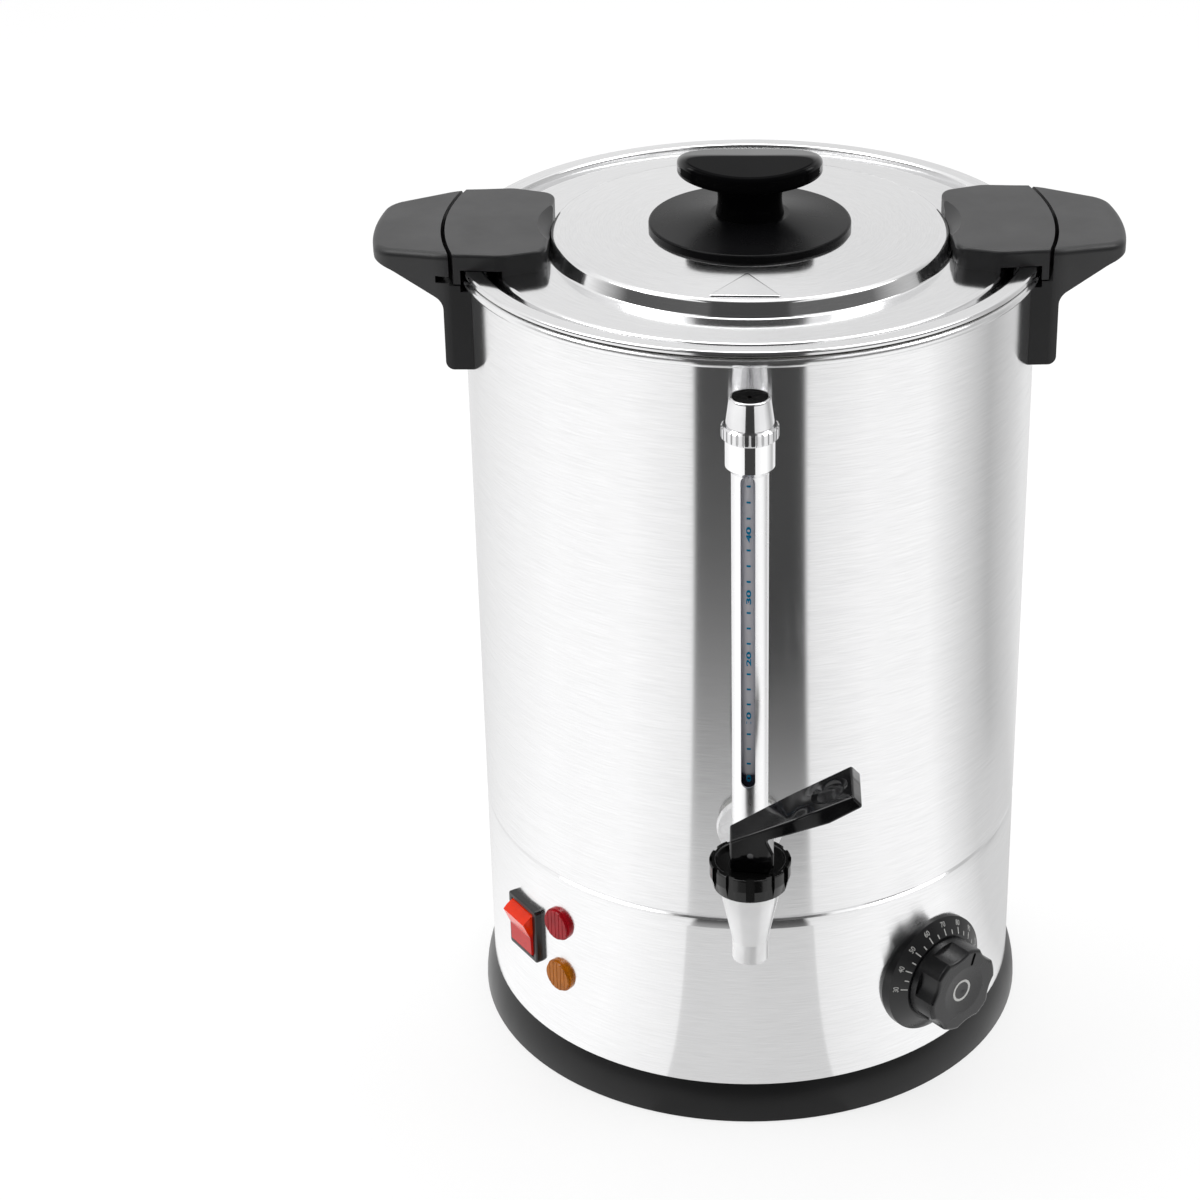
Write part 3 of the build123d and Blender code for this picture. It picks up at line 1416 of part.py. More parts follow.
with BuildPart() as switch_rocker:
    lean = radians(rocker_tilt)

    def rocker_point(out, up):
        """A point of the rocker's side outline, turned about its pivot so that its top stands out."""
        return (
            -pivot_depth - out * cos(lean) - up * sin(lean),
            up * cos(lean) - out * sin(lean),
        )

    end_up = shell_depth(rocker_end_radius, rocker_front)
    back_up = shell_depth(rocker_end_radius, rocker_back)
    with BuildSketch(facing_plane(switch_azimuth + 90, switch_height, 0)):
        with BuildLine():
            Polyline(
                rocker_point(rocker_front, -end_up),
                rocker_point(rocker_valley, 0),
                rocker_point(rocker_front, end_up),
            )
            ThreePointArc(
                rocker_point(rocker_front, end_up),
                rocker_point(0, rocker_end_radius),
                rocker_point(-rocker_back, back_up),
            )
            Line(rocker_point(-rocker_back, back_up), rocker_point(-rocker_back, -back_up))
            ThreePointArc(
                rocker_point(-rocker_back, -back_up),
                rocker_point(0, -rocker_end_radius),
                rocker_point(rocker_front, -end_up),
            )
        make_face()
    extrude(amount=window_width / 2 - free_gap, both=True)
    with BuildSketch(facing_plane(switch_azimuth + 90, switch_height, 0)):
        with Locations((-pivot_depth, 0)):
            Circle(trunnion_radius)
    extrude(amount=window_width / 2 + trunnion_length, both=True)
switch_rocker.part.label = "switch_rocker"

with BuildPart() as switch_blades:
    with BuildSketch(facing_plane(switch_azimuth, switch_height, switch_back)):
        with GridLocations(switch_body_width / 2, switch_body_height / 2, 2, 2):
            Rectangle(blade_thickness, blade_width)
    extrude(amount=-blade_length)
switch_blades.part.label = "switch_blades"

# ---- Lamps: ribbed lenses on the housing and holders behind its wall ------------------------
def build_lens(height):
    """A flanged lens with a ribbed face and a stem that passes through the wall."""
    with BuildPart() as lens:
        with BuildSketch(facing_plane(lamp_azimuth, height, shell_radius + lens_rim)):
            Circle(lens_flange)
        extrude(amount=-2 * lens_rim)
        with BuildSketch(facing_plane(lamp_azimuth, height, shell_radius + lens_rim)):
            Circle(lens_radius)
        extrude(amount=lens_front - lens_rim)
        with BuildSketch(facing_plane(lamp_azimuth, height, shell_radius + lens_front)):
            with GridLocations(lens_radius / 3, 1, 5, 1):
                Rectangle(lens_groove, 3 * lens_radius)
        extrude(amount=-lens_groove, mode=Mode.SUBTRACT)
        cut_inside(shell_radius, 0, 2 * height)
        with BuildSketch(facing_plane(lamp_azimuth, height, shell_radius)):
            Circle(lens_stem)
        extrude(amount=lens_rim)
        with BuildSketch(facing_plane(lamp_azimuth, height, shell_radius)):
            Circle(lens_stem)
        extrude(amount=-lens_stem_length)
    return lens


heat_lamp_lens = build_lens(heat_lamp_height)
heat_lamp_lens.part.label = "heat_lamp_lens"
warm_lamp_lens = build_lens(warm_lamp_height)
warm_lamp_lens.part.label = "warm_lamp_lens"

with BuildPart() as lamp_holders:
    stem_end = shell_radius - lens_stem_length - free_gap
    for lamp_height in (heat_lamp_height, warm_lamp_height):
        with BuildSketch(facing_plane(lamp_azimuth, lamp_height, tank_inner - holder_depth)):
            Circle(holder_radius)
        extrude(amount=holder_depth)
        with BuildSketch(facing_plane(lamp_azimuth, lamp_height, stem_end)):
            Circle(lens_stem + fit_gap)
        extrude(amount=holder_depth, mode=Mode.SUBTRACT)
    with BuildSketch():
        Circle(tank_inner)
    extrude(amount=seam_height, mode=Mode.INTERSECT)
lamp_holders.part.label = "lamp_holders"

# ---- Mains inlet: flanged socket, three blades and two screws; terminal block on the plate --
inlet_face = shell_radius + inlet_front
inlet_back = inlet_face - inlet_depth
socket_floor = inlet_face - socket_depth

with BuildPart() as inlet_socket:
    with BuildSketch(facing_plane(180, inlet_height, inlet_face)):
        RectangleRounded(inlet_flange_width, inlet_flange_height, inlet_corner)
    extrude(amount=-inlet_flange_depth)
    cut_inside(shell_radius, 0, 2 * inlet_height)
    with BuildSketch(facing_plane(180, inlet_height, inlet_back)):
        Rectangle(inlet_body_width, inlet_body_height)
    extrude(amount=inlet_depth - 1)
    with BuildSketch(facing_plane(180, inlet_height, inlet_face)) as cavity:
        Rectangle(socket_width, socket_height)
        chamfer(cavity.vertices().group_by(Axis.Y)[-1], socket_chamfer)
    extrude(amount=-socket_depth, mode=Mode.SUBTRACT)
    blade_places = [(-blade_pitch, -earth_rise / 2), (blade_pitch, -earth_rise / 2), (0, earth_rise / 2)]
    with BuildSketch(facing_plane(180, inlet_height, socket_floor)):
        with Locations(*blade_places):
            Rectangle(inlet_blade_thickness + 2 * fit_gap, inlet_blade_width + 2 * fit_gap)
    extrude(amount=inlet_back - socket_floor, mode=Mode.SUBTRACT)
    with BuildSketch(facing_plane(180, inlet_height, inlet_face)):
        with Locations((-inlet_screw_spread, 0), (inlet_screw_spread, 0)):
            Circle(screw_shank + fit_gap)
    extrude(amount=-inlet_flange_width / 2, mode=Mode.SUBTRACT)
inlet_socket.part.label = "inlet_socket"

with BuildPart() as inlet_pins:
    with BuildSketch(facing_plane(180, inlet_height, inlet_back - inlet_tab_length)):
        with Locations(*blade_places):
            Rectangle(inlet_blade_thickness, inlet_blade_width)
    extrude(amount=socket_floor + inlet_blade_reach - inlet_back + inlet_tab_length)
inlet_pins.part.label = "inlet_pins"

with BuildPart() as inlet_screws:
    with BuildSketch(facing_plane(180, inlet_height, inlet_face)):
        with Locations((-inlet_screw_spread, 0), (inlet_screw_spread, 0)):
            Circle(screw_head)
    extrude(amount=screw_head_height, taper=15)
    with BuildSketch(facing_plane(180, inlet_height, inlet_face)):
        with Locations((-inlet_screw_spread, 0), (inlet_screw_spread, 0)):
            Circle(screw_shank)
    extrude(amount=-inlet_front - 2 * screw_head)
inlet_screws.part.label = "inlet_screws"

terminal_at = shell_radius - terminal_inset

with BuildPart() as terminal_block:
    with BuildSketch(Plane.XY.offset(plate_top)):
        with Locations((-terminal_at / 2, terminal_at)):
            Rectangle(terminal_length, terminal_width)
    extrude(amount=terminal_height)
    with BuildSketch(Plane.XY.offset(plate_top + terminal_height)):
        with Locations((-terminal_at / 2, terminal_at)):
            with GridLocations(terminal_length / 3, terminal_width / 2, 3, 2):
                Circle(screw_head / 2)
    extrude(amount=-terminal_height / 2, mode=Mode.SUBTRACT)
terminal_block.part.label = "terminal_block"

pieces = (
    tank, skirt, base_ring, foot_ring, base_plate, base_screws,
    heater_plate, heater_tube, thermal_cutout,
    lid, lid_seal, knob_base, lid_knob, knob_washer, knob_screw,
    lid_lug_left, lid_lug_right, lid_lug_screws,
    handle_left, handle_right, handle_brackets, handle_screws,
    tap_shank, tap_washers, tap_nut,
    gauge_guard, gauge_glass, gauge_seals, gauge_cap, vent_plug,
    tap_body, tap_bonnet, seat_cup, tap_stem, tap_spring, lever_pin, tap_lever,
    dial_plate, thermostat, thermostat_bulb, thermostat_shaft, dial_knob,
    switch_housing, switch_rocker, switch_blades,
    heat_lamp_lens, warm_lamp_lens, lamp_holders,
    inlet_socket, inlet_pins, inlet_screws, terminal_block,
)
for piece in pieces:
    export_step(piece.part, f"parts/{piece.part.label}.step")
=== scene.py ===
from math import cos, pi, radians, sin, tan

import bpy
from mathutils import Matrix, Vector
from mathutils.bvhtree import BVHTree


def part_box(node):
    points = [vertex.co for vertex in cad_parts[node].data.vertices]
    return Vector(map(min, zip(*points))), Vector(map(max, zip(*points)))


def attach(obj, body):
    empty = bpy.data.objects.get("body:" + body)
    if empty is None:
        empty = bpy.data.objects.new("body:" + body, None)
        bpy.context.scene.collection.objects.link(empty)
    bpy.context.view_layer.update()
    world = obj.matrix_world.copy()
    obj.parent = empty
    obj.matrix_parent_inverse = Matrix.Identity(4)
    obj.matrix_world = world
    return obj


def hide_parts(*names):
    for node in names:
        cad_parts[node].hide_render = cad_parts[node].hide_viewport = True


# Electric hot-drinks urn. Metres; Z runs up the urn's axis and the tap faces -Y.
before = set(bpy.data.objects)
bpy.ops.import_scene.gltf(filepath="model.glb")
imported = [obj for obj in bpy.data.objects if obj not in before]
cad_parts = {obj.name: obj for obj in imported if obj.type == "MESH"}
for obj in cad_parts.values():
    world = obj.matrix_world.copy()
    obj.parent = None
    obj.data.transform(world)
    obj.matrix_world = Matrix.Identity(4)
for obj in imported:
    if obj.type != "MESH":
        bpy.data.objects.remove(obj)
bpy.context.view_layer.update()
bpy.ops.object.select_all(action="DESELECT")


# ---- Light tent ---------------------------------------------------------------------------------
# The urn stands in a white tent on a white floor. The tent is open in front, so polished metal
# mirrors one dark gap there, and behind on the right its wall is grey.
def wire(tree, kind, inputs=(), **settings):
    """Add a shader node, set it up, and join or fill its inputs."""
    node = tree.nodes.new("ShaderNode" + kind)
    for name, value in settings.items():
        setattr(node, name, value)
    for name, value in dict(inputs).items():
        if isinstance(value, bpy.types.NodeSocket):
            tree.links.new(value, node.inputs[name])
        else:
            node.inputs[name].default_value = value
    return node


def maths(tree, operation, *values):
    """Work out a sum, a product or another operation on numbers."""
    return wire(tree, "Math", dict(enumerate(values)), operation=operation).outputs[0]


def slide(tree, value, start, end, low=0.0, high=1.0):
    """Turn a value that runs from start to end into one that runs from low to high."""
    return wire(tree, "MapRange", {0: value, 1: start, 2: end, 3: low, 4: high}).outputs[0]


def between(tree, share, first, second):
    """Give the number that lies between two others, by a share."""
    return wire(tree, "Mix", {0: share, 2: first, 3: second}).outputs[0]


def rgba(colour):
    """Give a grey, or a red, green and blue, as a colour with its alpha."""
    return (*colour, 1.0) if isinstance(colour, tuple) else (colour, colour, colour, 1.0)


def mixed(tree, share, first, second, **settings):
    """Mix two colours by a share. Each is a socket, a grey, or a red, green and blue."""
    ends = [end if isinstance(end, bpy.types.NodeSocket) else rgba(end) for end in (first, second)]
    return wire(tree, "Mix", {0: share, 6: ends[0], 7: ends[1]}, data_type="RGBA", **settings).outputs[2]


def axes(tree, place):
    """Split a place into its X, Y and Z."""
    return wire(tree, "SeparateXYZ", {0: place}).outputs


def object_place(tree):
    """Give the place of a point on its piece."""
    return wire(tree, "TexCoord").outputs["Object"]


def open_group(name, inputs, outputs):
    """Start a shader node group with named sockets; give back its tree, what it gets and what it puts out."""
    tree = bpy.data.node_groups.new(name, "ShaderNodeTree")
    for label, kind, value in inputs:
        made = tree.interface.new_socket(label, in_out="INPUT", socket_type="NodeSocket" + kind)
        if value is not None:
            made.default_value = value
    for label, kind in outputs:
        tree.interface.new_socket(label, in_out="OUTPUT", socket_type="NodeSocket" + kind)
    return tree, tree.nodes.new("NodeGroupInput").outputs, tree.nodes.new("NodeGroupOutput").inputs


def close_group(tree, put, **values):
    """Join a shader node group's outputs, by name."""
    for name, value in values.items():
        tree.links.new(value, put[name])


# The walls' tones by azimuth, in degrees to the right of the front: white walls at both sides, an
# unlit gap in front, and a grey stretch behind on the right.
gap_half, gap_edge, gap_tone = 20.5, 0.5, 0.05
tent_tones = (
    (-180, 0.9), (-140, 0.85), (-80, 1.1), (-45, 1.1),
    (-gap_half - gap_edge, 0.95), (-gap_half + gap_edge, gap_tone),
    (gap_half - gap_edge, gap_tone), (gap_half + gap_edge, 0.9),
    (45, 1.05), (70, 1.05), (105, 0.5), (140, 0.85),
)
tent, given, put = open_group(
    "tent_tone",
    [("Direction", "Vector", None)],
    [("Tone", "Color"), ("Turn", "Float")],
)
right, back, _ = axes(tent, given["Direction"])
turn = maths(tent, "ARCTAN2", right, maths(tent, "MULTIPLY", back, -1.0))
tones = wire(tent, "ValToRGB", {0: slide(tent, turn, -pi, pi)})
stops = tones.color_ramp.elements
while len(stops) < len(tent_tones):
    stops.new(0.5)
for stop, (azimuth, tone) in zip(stops, tent_tones):
    stop.position = (azimuth + 180) / 360
    stop.color = rgba(tone)
close_group(tent, put, Tone=tones.outputs[0], Turn=turn)

# In front the tent is open to a dark room, up to a third of the way to its roof. Heights are those
# of a direction of length 1, and the front's edge is a turn from the front in radians.
room_top, roof_edge, front_edge = (0.50, 0.62), (0.58, 0.80), (1.25, 1.75)
room_tones, roof_tone = (0.10, 0.17), 1.15
world = bpy.data.worlds.new("tent")
bpy.context.scene.world = world
world.use_nodes = True
walls = world.node_tree
walls.nodes.clear()
direction = wire(walls, "TexCoord").outputs["Generated"]
wall = wire(walls, "Group", {"Direction": direction}, node_tree=tent).outputs
right, back, height = axes(walls, direction)
low_down = slide(walls, height, *room_top, low=1.0, high=0.0)
off_front = maths(walls, "ABSOLUTE", wall["Turn"])
in_front = slide(walls, off_front, *front_edge, low=1.0, high=0.0)
room = maths(walls, "MULTIPLY", low_down, in_front)
room_tone = slide(walls, wall["Turn"], -1.6, 1.6, *room_tones)
lined = mixed(walls, room, wall["Tone"], room_tone)
roofed = mixed(walls, slide(walls, height, *roof_edge), lined, roof_tone)

# The gap between the tent's two halves runs up over the front.
strip_half, strip_end, strip_tone = (0.34, 0.38), (-0.30, -0.10), 0.07
inside = slide(walls, maths(walls, "ABSOLUTE", right), *strip_half, low=1.0, high=0.0)
facing = slide(walls, back, *strip_end, low=1.0, high=0.0)
parted = mixed(walls, maths(walls, "MULTIPLY", inside, facing), roofed, strip_tone)
path = wire(walls, "LightPath").outputs
seen = mixed(walls, path["Is Camera Ray"], parted, 1.0)
sky = wire(walls, "Background", {0: seen, 1: 1.0}).outputs[0]
wire(walls, "OutputWorld", {0: sky})

bpy.ops.mesh.primitive_circle_add(vertices=96, radius=6.0, fill_type="NGON", location=(0, 0, 0))
floor = bpy.context.object
floor.name = "tent_floor"
paper = bpy.data.materials.new("tent_paper")
paper.use_nodes = True
sheet = paper.node_tree
sheet.nodes.clear()
place = object_place(sheet)
wall = wire(sheet, "Group", {"Direction": place}, node_tree=tent).outputs

# Near the urn the floor lights the gap, further out on the left than on the right.
left_edge, left_tone, right_edge, right_tone = (0.29, 0.62), 0.72, (0.32, 0.42), 0.70
middle_edge = (-0.02, 0.02)
reach = wire(sheet, "VectorMath", {0: place}, operation="LENGTH").outputs[1]
left_near = slide(sheet, reach, *left_edge, low=left_tone, high=0.0)
right_near = slide(sheet, reach, *right_edge, low=right_tone, high=0.0)
to_right = slide(sheet, axes(sheet, place)[0], *middle_edge)
near = between(sheet, to_right, left_near, right_near)
shown = mixed(sheet, 1.0, wall["Tone"], near, blend_type="LIGHTEN")

# Far out in front the floor is as dark as the room there.
far_edge, far_tone = (3.0, 4.5), 0.12
off_front = maths(sheet, "ABSOLUTE", wall["Turn"])
in_front = slide(sheet, off_front, *front_edge, low=1.0, high=0.0)
darkened = maths(sheet, "MULTIPLY", slide(sheet, reach, *far_edge), in_front)
shown = mixed(sheet, darkened, shown, far_tone)

# To the eye the floor is matt paper with some light of its own, and metal mirrors its tones.
paper_tone, own_light, own_share = 0.88, 1.06, 0.72
path = wire(sheet, "LightPath").outputs
lifted = maths(sheet, "MULTIPLY", path["Is Camera Ray"], own_share)
matt = wire(sheet, "BsdfDiffuse", {0: rgba(paper_tone)}).outputs[0]
glow = wire(sheet, "Emission", {0: rgba(1.0), 1: own_light}).outputs[0]
laid = wire(sheet, "MixShader", {0: lifted, 1: matt, 2: glow}).outputs[0]
mirrored = wire(sheet, "Emission", {0: shown, 1: 1.0}).outputs[0]
in_mirror = maths(sheet, "MAXIMUM", path["Is Glossy Ray"], path["Is Transmission Ray"])
whole = wire(sheet, "MixShader", {0: in_mirror, 1: laid, 2: mirrored}).outputs[0]
wire(sheet, "OutputMaterial", {0: whole})
floor.data.materials.append(paper)


def hang_lamp(name, place, aim, width, depth, power):
    """Hang a soft rectangular lamp that faces a point."""
    lamp = bpy.data.lights.new(name, "AREA")
    lamp.shape, lamp.size, lamp.size_y, lamp.energy = "RECTANGLE", width, depth, power
    hung = bpy.data.objects.new(name, lamp)
    bpy.context.scene.collection.objects.link(hung)
    hung.location = place
    hung.rotation_euler = (Vector(aim) - Vector(place)).to_track_quat("-Z", "Y").to_euler()


hang_lamp("left_lamp", (-1.25, -0.25, 1.75), (0, 0, 0.2), 0.9, 0.9, 9.0)
hang_lamp("right_lamp", (1.3, -0.1, 1.7), (0, 0, 0.2), 0.8, 0.8, 6.0)
hang_lamp("top_lamp", (0.0, 0.5, 1.9), (0, 0, 0.3), 1.2, 0.8, 8.0)
bpy.context.scene.view_settings.view_transform = "Standard"

eye = bpy.data.cameras.new("eye")
eye.sensor_width, eye.lens, eye.shift_x = 36.0, 90.57, -0.12773
camera = bpy.data.objects.new("eye", eye)
bpy.context.scene.collection.objects.link(camera)
look_down, roll = 0.4876, -0.0012
camera.location = (0.0, -1.1855, 0.8221)
camera.rotation_euler = (pi / 2 - look_down, 0.0, roll)
bpy.context.scene.camera = camera


# ---- Tank and housing wall ----------------------------------------------------------------------
# Stainless sheet, brushed round and round before it was rolled and welded. The housing wall has a
# rolled shoulder under the tank, and both are pressed together over the bottom plate.
def from_axis(tree, place):
    """Give the level way from the Z axis to a place, and its length."""
    across, deep, _ = axes(tree, place)
    level = wire(tree, "CombineXYZ", {0: across, 1: deep}).outputs[0]
    return level, wire(tree, "VectorMath", {0: level}, operation="LENGTH").outputs[1]


def scaled(tree, vector, share):
    """Make a vector longer or shorter."""
    return wire(tree, "VectorMath", {0: vector, 3: share}, operation="SCALE").outputs[0]


def noise(tree, place, scale, detail, **more):
    """Give soft noise, which is finer with a larger scale."""
    return wire(tree, "TexNoise", {0: place, "Scale": scale, "Detail": detail, **more}).outputs[0]


# Brush lines that run round the axis: noise that is fine along Z and radius, and long round them,
# with a little of the same noise drawn out. Noise seldom leaves its span.
noise_span, slow_share, slow_scale = (0.3, 0.7), 0.12, 0.08
ring_brush, given, put = open_group(
    "ring_brush",
    [("Place", "Vector", None), ("Lines", "Float", 2600.0), ("Round", "Float", 9.0)],
    [("Tone", "Float"), ("Gloss", "Float"), ("Height", "Float")],
)
level, radius = from_axis(ring_brush, given["Place"])
round_way = wire(ring_brush, "VectorMath", {0: level}, operation="NORMALIZE").outputs[0]
up_and_out = maths(ring_brush, "ADD", axes(ring_brush, given["Place"])[2], radius)
lines = maths(ring_brush, "MULTIPLY", up_and_out, given["Lines"])
rise = wire(ring_brush, "CombineXYZ", {2: lines}).outputs[0]
along = scaled(ring_brush, round_way, given["Round"])
grain_place = wire(ring_brush, "VectorMath", {0: along, 1: rise}, operation="ADD").outputs[0]
grain = noise(ring_brush, grain_place, 1.0, 3.0, Roughness=0.65)
slow = noise(ring_brush, scaled(ring_brush, grain_place, slow_scale), 1.0, 2.0)
streaks = between(ring_brush, slow_share, grain, slow)
close_group(
    ring_brush, put,
    Tone=slide(ring_brush, streaks, *noise_span, low=0.90, high=1.0),
    Gloss=slide(ring_brush, streaks, *noise_span, low=0.02, high=-0.02),
    Height=grain,
)


def start_material(name):
    """Start a material with a Principled shader; give back the material, its tree and the shader."""
    material = bpy.data.materials.new(name)
    material.use_nodes = True
    tree = material.node_tree
    return material, tree, tree.nodes["Principled BSDF"]


def bump(tree, height, distance):
    """Give the normal of a surface that is raised by a height."""
    return wire(tree, "Bump", {"Strength": 1.0, "Distance": distance, "Height": height}).outputs[0]


def shade(tree, shader, tone, gloss, height, colour, roughness, depth):
    """Tone the colour, shift the roughness and raise the surface by a group's outputs."""
    tree.links.new(mixed(tree, tone, 0.0, colour), shader.inputs["Base Color"])
    rough = wire(tree, "Math", {0: gloss, 1: roughness}, operation="ADD", use_clamp=True).outputs[0]
    tree.links.new(rough, shader.inputs["Roughness"])
    tree.links.new(bump(tree, height, depth), shader.inputs["Normal"])


def brushed_steel(name, colour, roughness, stretch, lines, depth):
    """Stainless steel that is brushed round the urn's axis."""
    material, tree, shader = start_material(name)
    brush = wire(tree, "Group", {"Place": object_place(tree), "Lines": lines}, node_tree=ring_brush)
    shade(tree, shader, *brush.outputs, colour, roughness, depth)
    shader.inputs["Metallic"].default_value = 1.0
    shader.inputs["Anisotropic"].default_value = stretch
    shader.inputs["Anisotropic Rotation"].default_value = 0.25
    return material


def bend_skin(material, normal):
    """Lay the fine skin of a material over a bent surface."""
    tree = material.node_tree
    skin = tree.nodes["Principled BSDF"].inputs["Normal"].links[0].from_node
    tree.links.new(normal, skin.inputs["Normal"])


def finish(material, *names):
    """Give CAD nodes their finish."""
    for name in names:
        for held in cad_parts[name].material_slots:
            held.material = material


wall_colour, wall_brush = (0.93, 0.93, 0.935), (1.0, 3200.0, 0.0000009)
skirt_steel = brushed_steel("skirt_steel", wall_colour, 0.13, *wall_brush)
finish(brushed_steel("shell_steel", wall_colour, 0.17, *wall_brush), "tank")
finish(skirt_steel, "skirt")

# The housing wall's top is rolled in with a small bead.
skirt_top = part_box("skirt")[1].z
roll_high, roll_deep, bead_high, bead_deep = 0.0062, 0.00055, 0.0024, 0.0018
tree = skirt_steel.node_tree
height = axes(tree, object_place(tree))[2]
turn_in = slide(tree, height, skirt_top - roll_high, skirt_top, high=-roll_deep)
bead = slide(tree, height, skirt_top - bead_high, skirt_top, high=-bead_deep)
bend_skin(skirt_steel, bump(tree, maths(tree, "ADD", turn_in, bead), 1.0))


# ---- Base ---------------------------------------------------------------------------------------
# Moulded thermoset ring that carries the housing wall, on a rubber ring. The pressed bottom plate
# is screwed up into the ring's inner ledge.
moulded_skin, given, put = open_group(
    "moulded_skin",
    [("Place", "Vector", None), ("Grain", "Float", 2400.0)],
    [("Tone", "Float"), ("Gloss", "Float"), ("Height", "Float")],
)
cloud = noise(moulded_skin, given["Place"], 45.0, 3.0)
close_group(
    moulded_skin, put,
    Tone=slide(moulded_skin, cloud, *noise_span, low=0.82, high=1.0),
    Gloss=slide(moulded_skin, cloud, *noise_span, low=0.04, high=-0.04),
    Height=noise(moulded_skin, given["Place"], given["Grain"], 2.0),
)


def moulded(name, colour, roughness, depth, grain=2400.0, bend=1.5):
    """Moulded plastic or rubber with a fine skin; bend is how strongly it bends light."""
    material, tree, shader = start_material(name)
    skin = wire(tree, "Group", {"Place": object_place(tree), "Grain": grain}, node_tree=moulded_skin)
    shade(tree, shader, *skin.outputs, colour, roughness, depth)
    shader.inputs["IOR"].default_value = bend
    return material


def plain_metal(name, colour, roughness, depth=0.00001, grain=900.0, metal=1.0):
    """Drawn, cast or plated metal with a faintly uneven skin."""
    material = moulded(name, colour, roughness, depth, grain)
    material.node_tree.nodes["Principled BSDF"].inputs["Metallic"].default_value = metal
    return material


finish(moulded("base_plastic", (0.009, 0.009, 0.0095), 0.33, 0.000012, bend=1.4), "base_ring")
finish(moulded("foot_rubber", (0.014, 0.014, 0.015), 0.75, 0.00004, 1500.0), "foot_ring")
finish(plain_metal("plate_steel", (0.62, 0.62, 0.63), 0.38), "base_plate")
finish(plain_metal("screw_steel", (0.66, 0.66, 0.67), 0.28), "base_screws", "knob_washer", "knob_screw",
       "lid_lug_screws", "handle_brackets", "handle_screws", "inlet_screws")


# ---- Heater -------------------------------------------------------------------------------------
# Cast aluminium plate under the tank's floor with a sheathed tube brazed to it, and a thermal
# cut-out against the plate.
finish(plain_metal("heater_aluminium", (0.60, 0.60, 0.61), 0.55, 0.00006, 400.0), "heater_plate")
finish(plain_metal("tube_steel", (0.50, 0.47, 0.44), 0.40), "heater_tube")
finish(moulded("phenolic", (0.09, 0.045, 0.025), 0.45, 0.00003), "thermal_cutout", "lamp_holders")


# ---- Lid ----------------------------------------------------------------------------------------
# One drawn stainless sheet, spun and polished, over a silicone ring that lies on the tank's rim.
# The ring's silicone is that of the tap's and the gauge's seals.
lid_steel = brushed_steel("lid_steel", (0.86, 0.86, 0.865), 0.11, 0.3, 2600.0, 0.000001)
finish(lid_steel, "lid")
finish(moulded("silicone", (0.52, 0.52, 0.50), 0.5, 0.00002),
       "lid_seal", "tap_washers", "gauge_seals", "seat_cup")

# The panel has a low crown: it falls a little from the knob's disc to its edge.
panel_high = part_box("knob_base")[0].z
crown_in, crown_out, crown_fall = 0.043, 0.082, 0.0044
panel_from, panel_full = panel_high - 0.0006, panel_high - 0.0002
tree = lid_steel.node_tree
place = object_place(tree)
fall = slide(tree, from_axis(tree, place)[1], crown_in, crown_out, high=-crown_fall)
on_panel = slide(tree, axes(tree, place)[2], panel_from, panel_full)
flat_way = wire(tree, "NewGeometry").outputs["Normal"]
crowned = wire(tree, "Mix", {0: on_panel, 4: flat_way, 5: bump(tree, fall, 1.0)}, data_type="VECTOR")
bend_skin(lid_steel, crowned.outputs[1])


def rounded(corners, steps=8):
    """Round the inner corners of an open outline: (x, y, radius) for each point."""
    points = [Vector(corners[0][:2])]
    for before, corner, after in zip(corners, corners[1:], corners[2:]):
        middle, bend = Vector(corner[:2]), corner[2]
        back, on = (Vector(before[:2]) - middle).normalized(), (Vector(after[:2]) - middle).normalized()
        half_angle = back.angle(on) / 2
        centre = middle + (back + on).normalized() * bend / sin(half_angle)
        first = middle + back * bend / tan(half_angle) - centre
        last = middle + on * bend / tan(half_angle) - centre
        for part in range(steps + 1):
            points.append(centre + first.lerp(last, part / steps).normalized() * bend)
    return points + [Vector(corners[-1][:2])]


# The pan's upper side from the axis out, and its underside back in: radius, height, bend.
sheet_gauge = 0.0008
gutter_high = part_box("lid")[0].z + sheet_gauge
ledge_high, flange_high = 0.3634, 0.3653
pan_edge, edge_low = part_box("lid")[1].x, 0.3634
pan_top = (
    (0.0, panel_high, 0.0), (0.0824, panel_high, 0.0022), (0.0846, ledge_high, 0.0012),
    (0.1096, ledge_high, 0.0016), (0.1112, gutter_high, 0.0008), (0.1136, gutter_high, 0.0008),
    (0.1151, flange_high, 0.0016), (pan_edge, flange_high, 0.0012), (pan_edge, edge_low, 0.0),
)
pan_under = (
    (pan_edge - sheet_gauge, edge_low, 0.0), (pan_edge - sheet_gauge, flange_high - sheet_gauge, 0.0004),
    (0.1154, flange_high - sheet_gauge, 0.0008), (0.1143, gutter_high - sheet_gauge, 0.0016),
    (0.1104, gutter_high - sheet_gauge, 0.0016), (0.1088, ledge_high - sheet_gauge, 0.0008),
    (0.0840, ledge_high - sheet_gauge, 0.0020), (0.0818, panel_high - sheet_gauge, 0.0014),
    (0.0, panel_high - sheet_gauge, 0.0),
)
spin_steps, merge_within, smooth_under = 288, 0.000002, radians(35)
outline = rounded(pan_top) + rounded(pan_under)
bpy.ops.mesh.primitive_circle_add(vertices=len(outline), radius=0.1, fill_type="NOTHING", location=(0, 0, 0))
lid_pan = bpy.context.object
for vertex, (out, up) in zip(lid_pan.data.vertices, outline):
    vertex.co = (out, 0.0, up)
bpy.ops.object.mode_set(mode="EDIT")
bpy.ops.mesh.select_all(action="SELECT")
bpy.ops.mesh.spin(steps=spin_steps, angle=2 * pi, center=(0, 0, 0), axis=(0, 0, 1))
bpy.ops.mesh.select_all(action="SELECT")
bpy.ops.mesh.remove_doubles(threshold=merge_within)
bpy.ops.mesh.normals_make_consistent(inside=False)
bpy.ops.object.mode_set(mode="OBJECT")

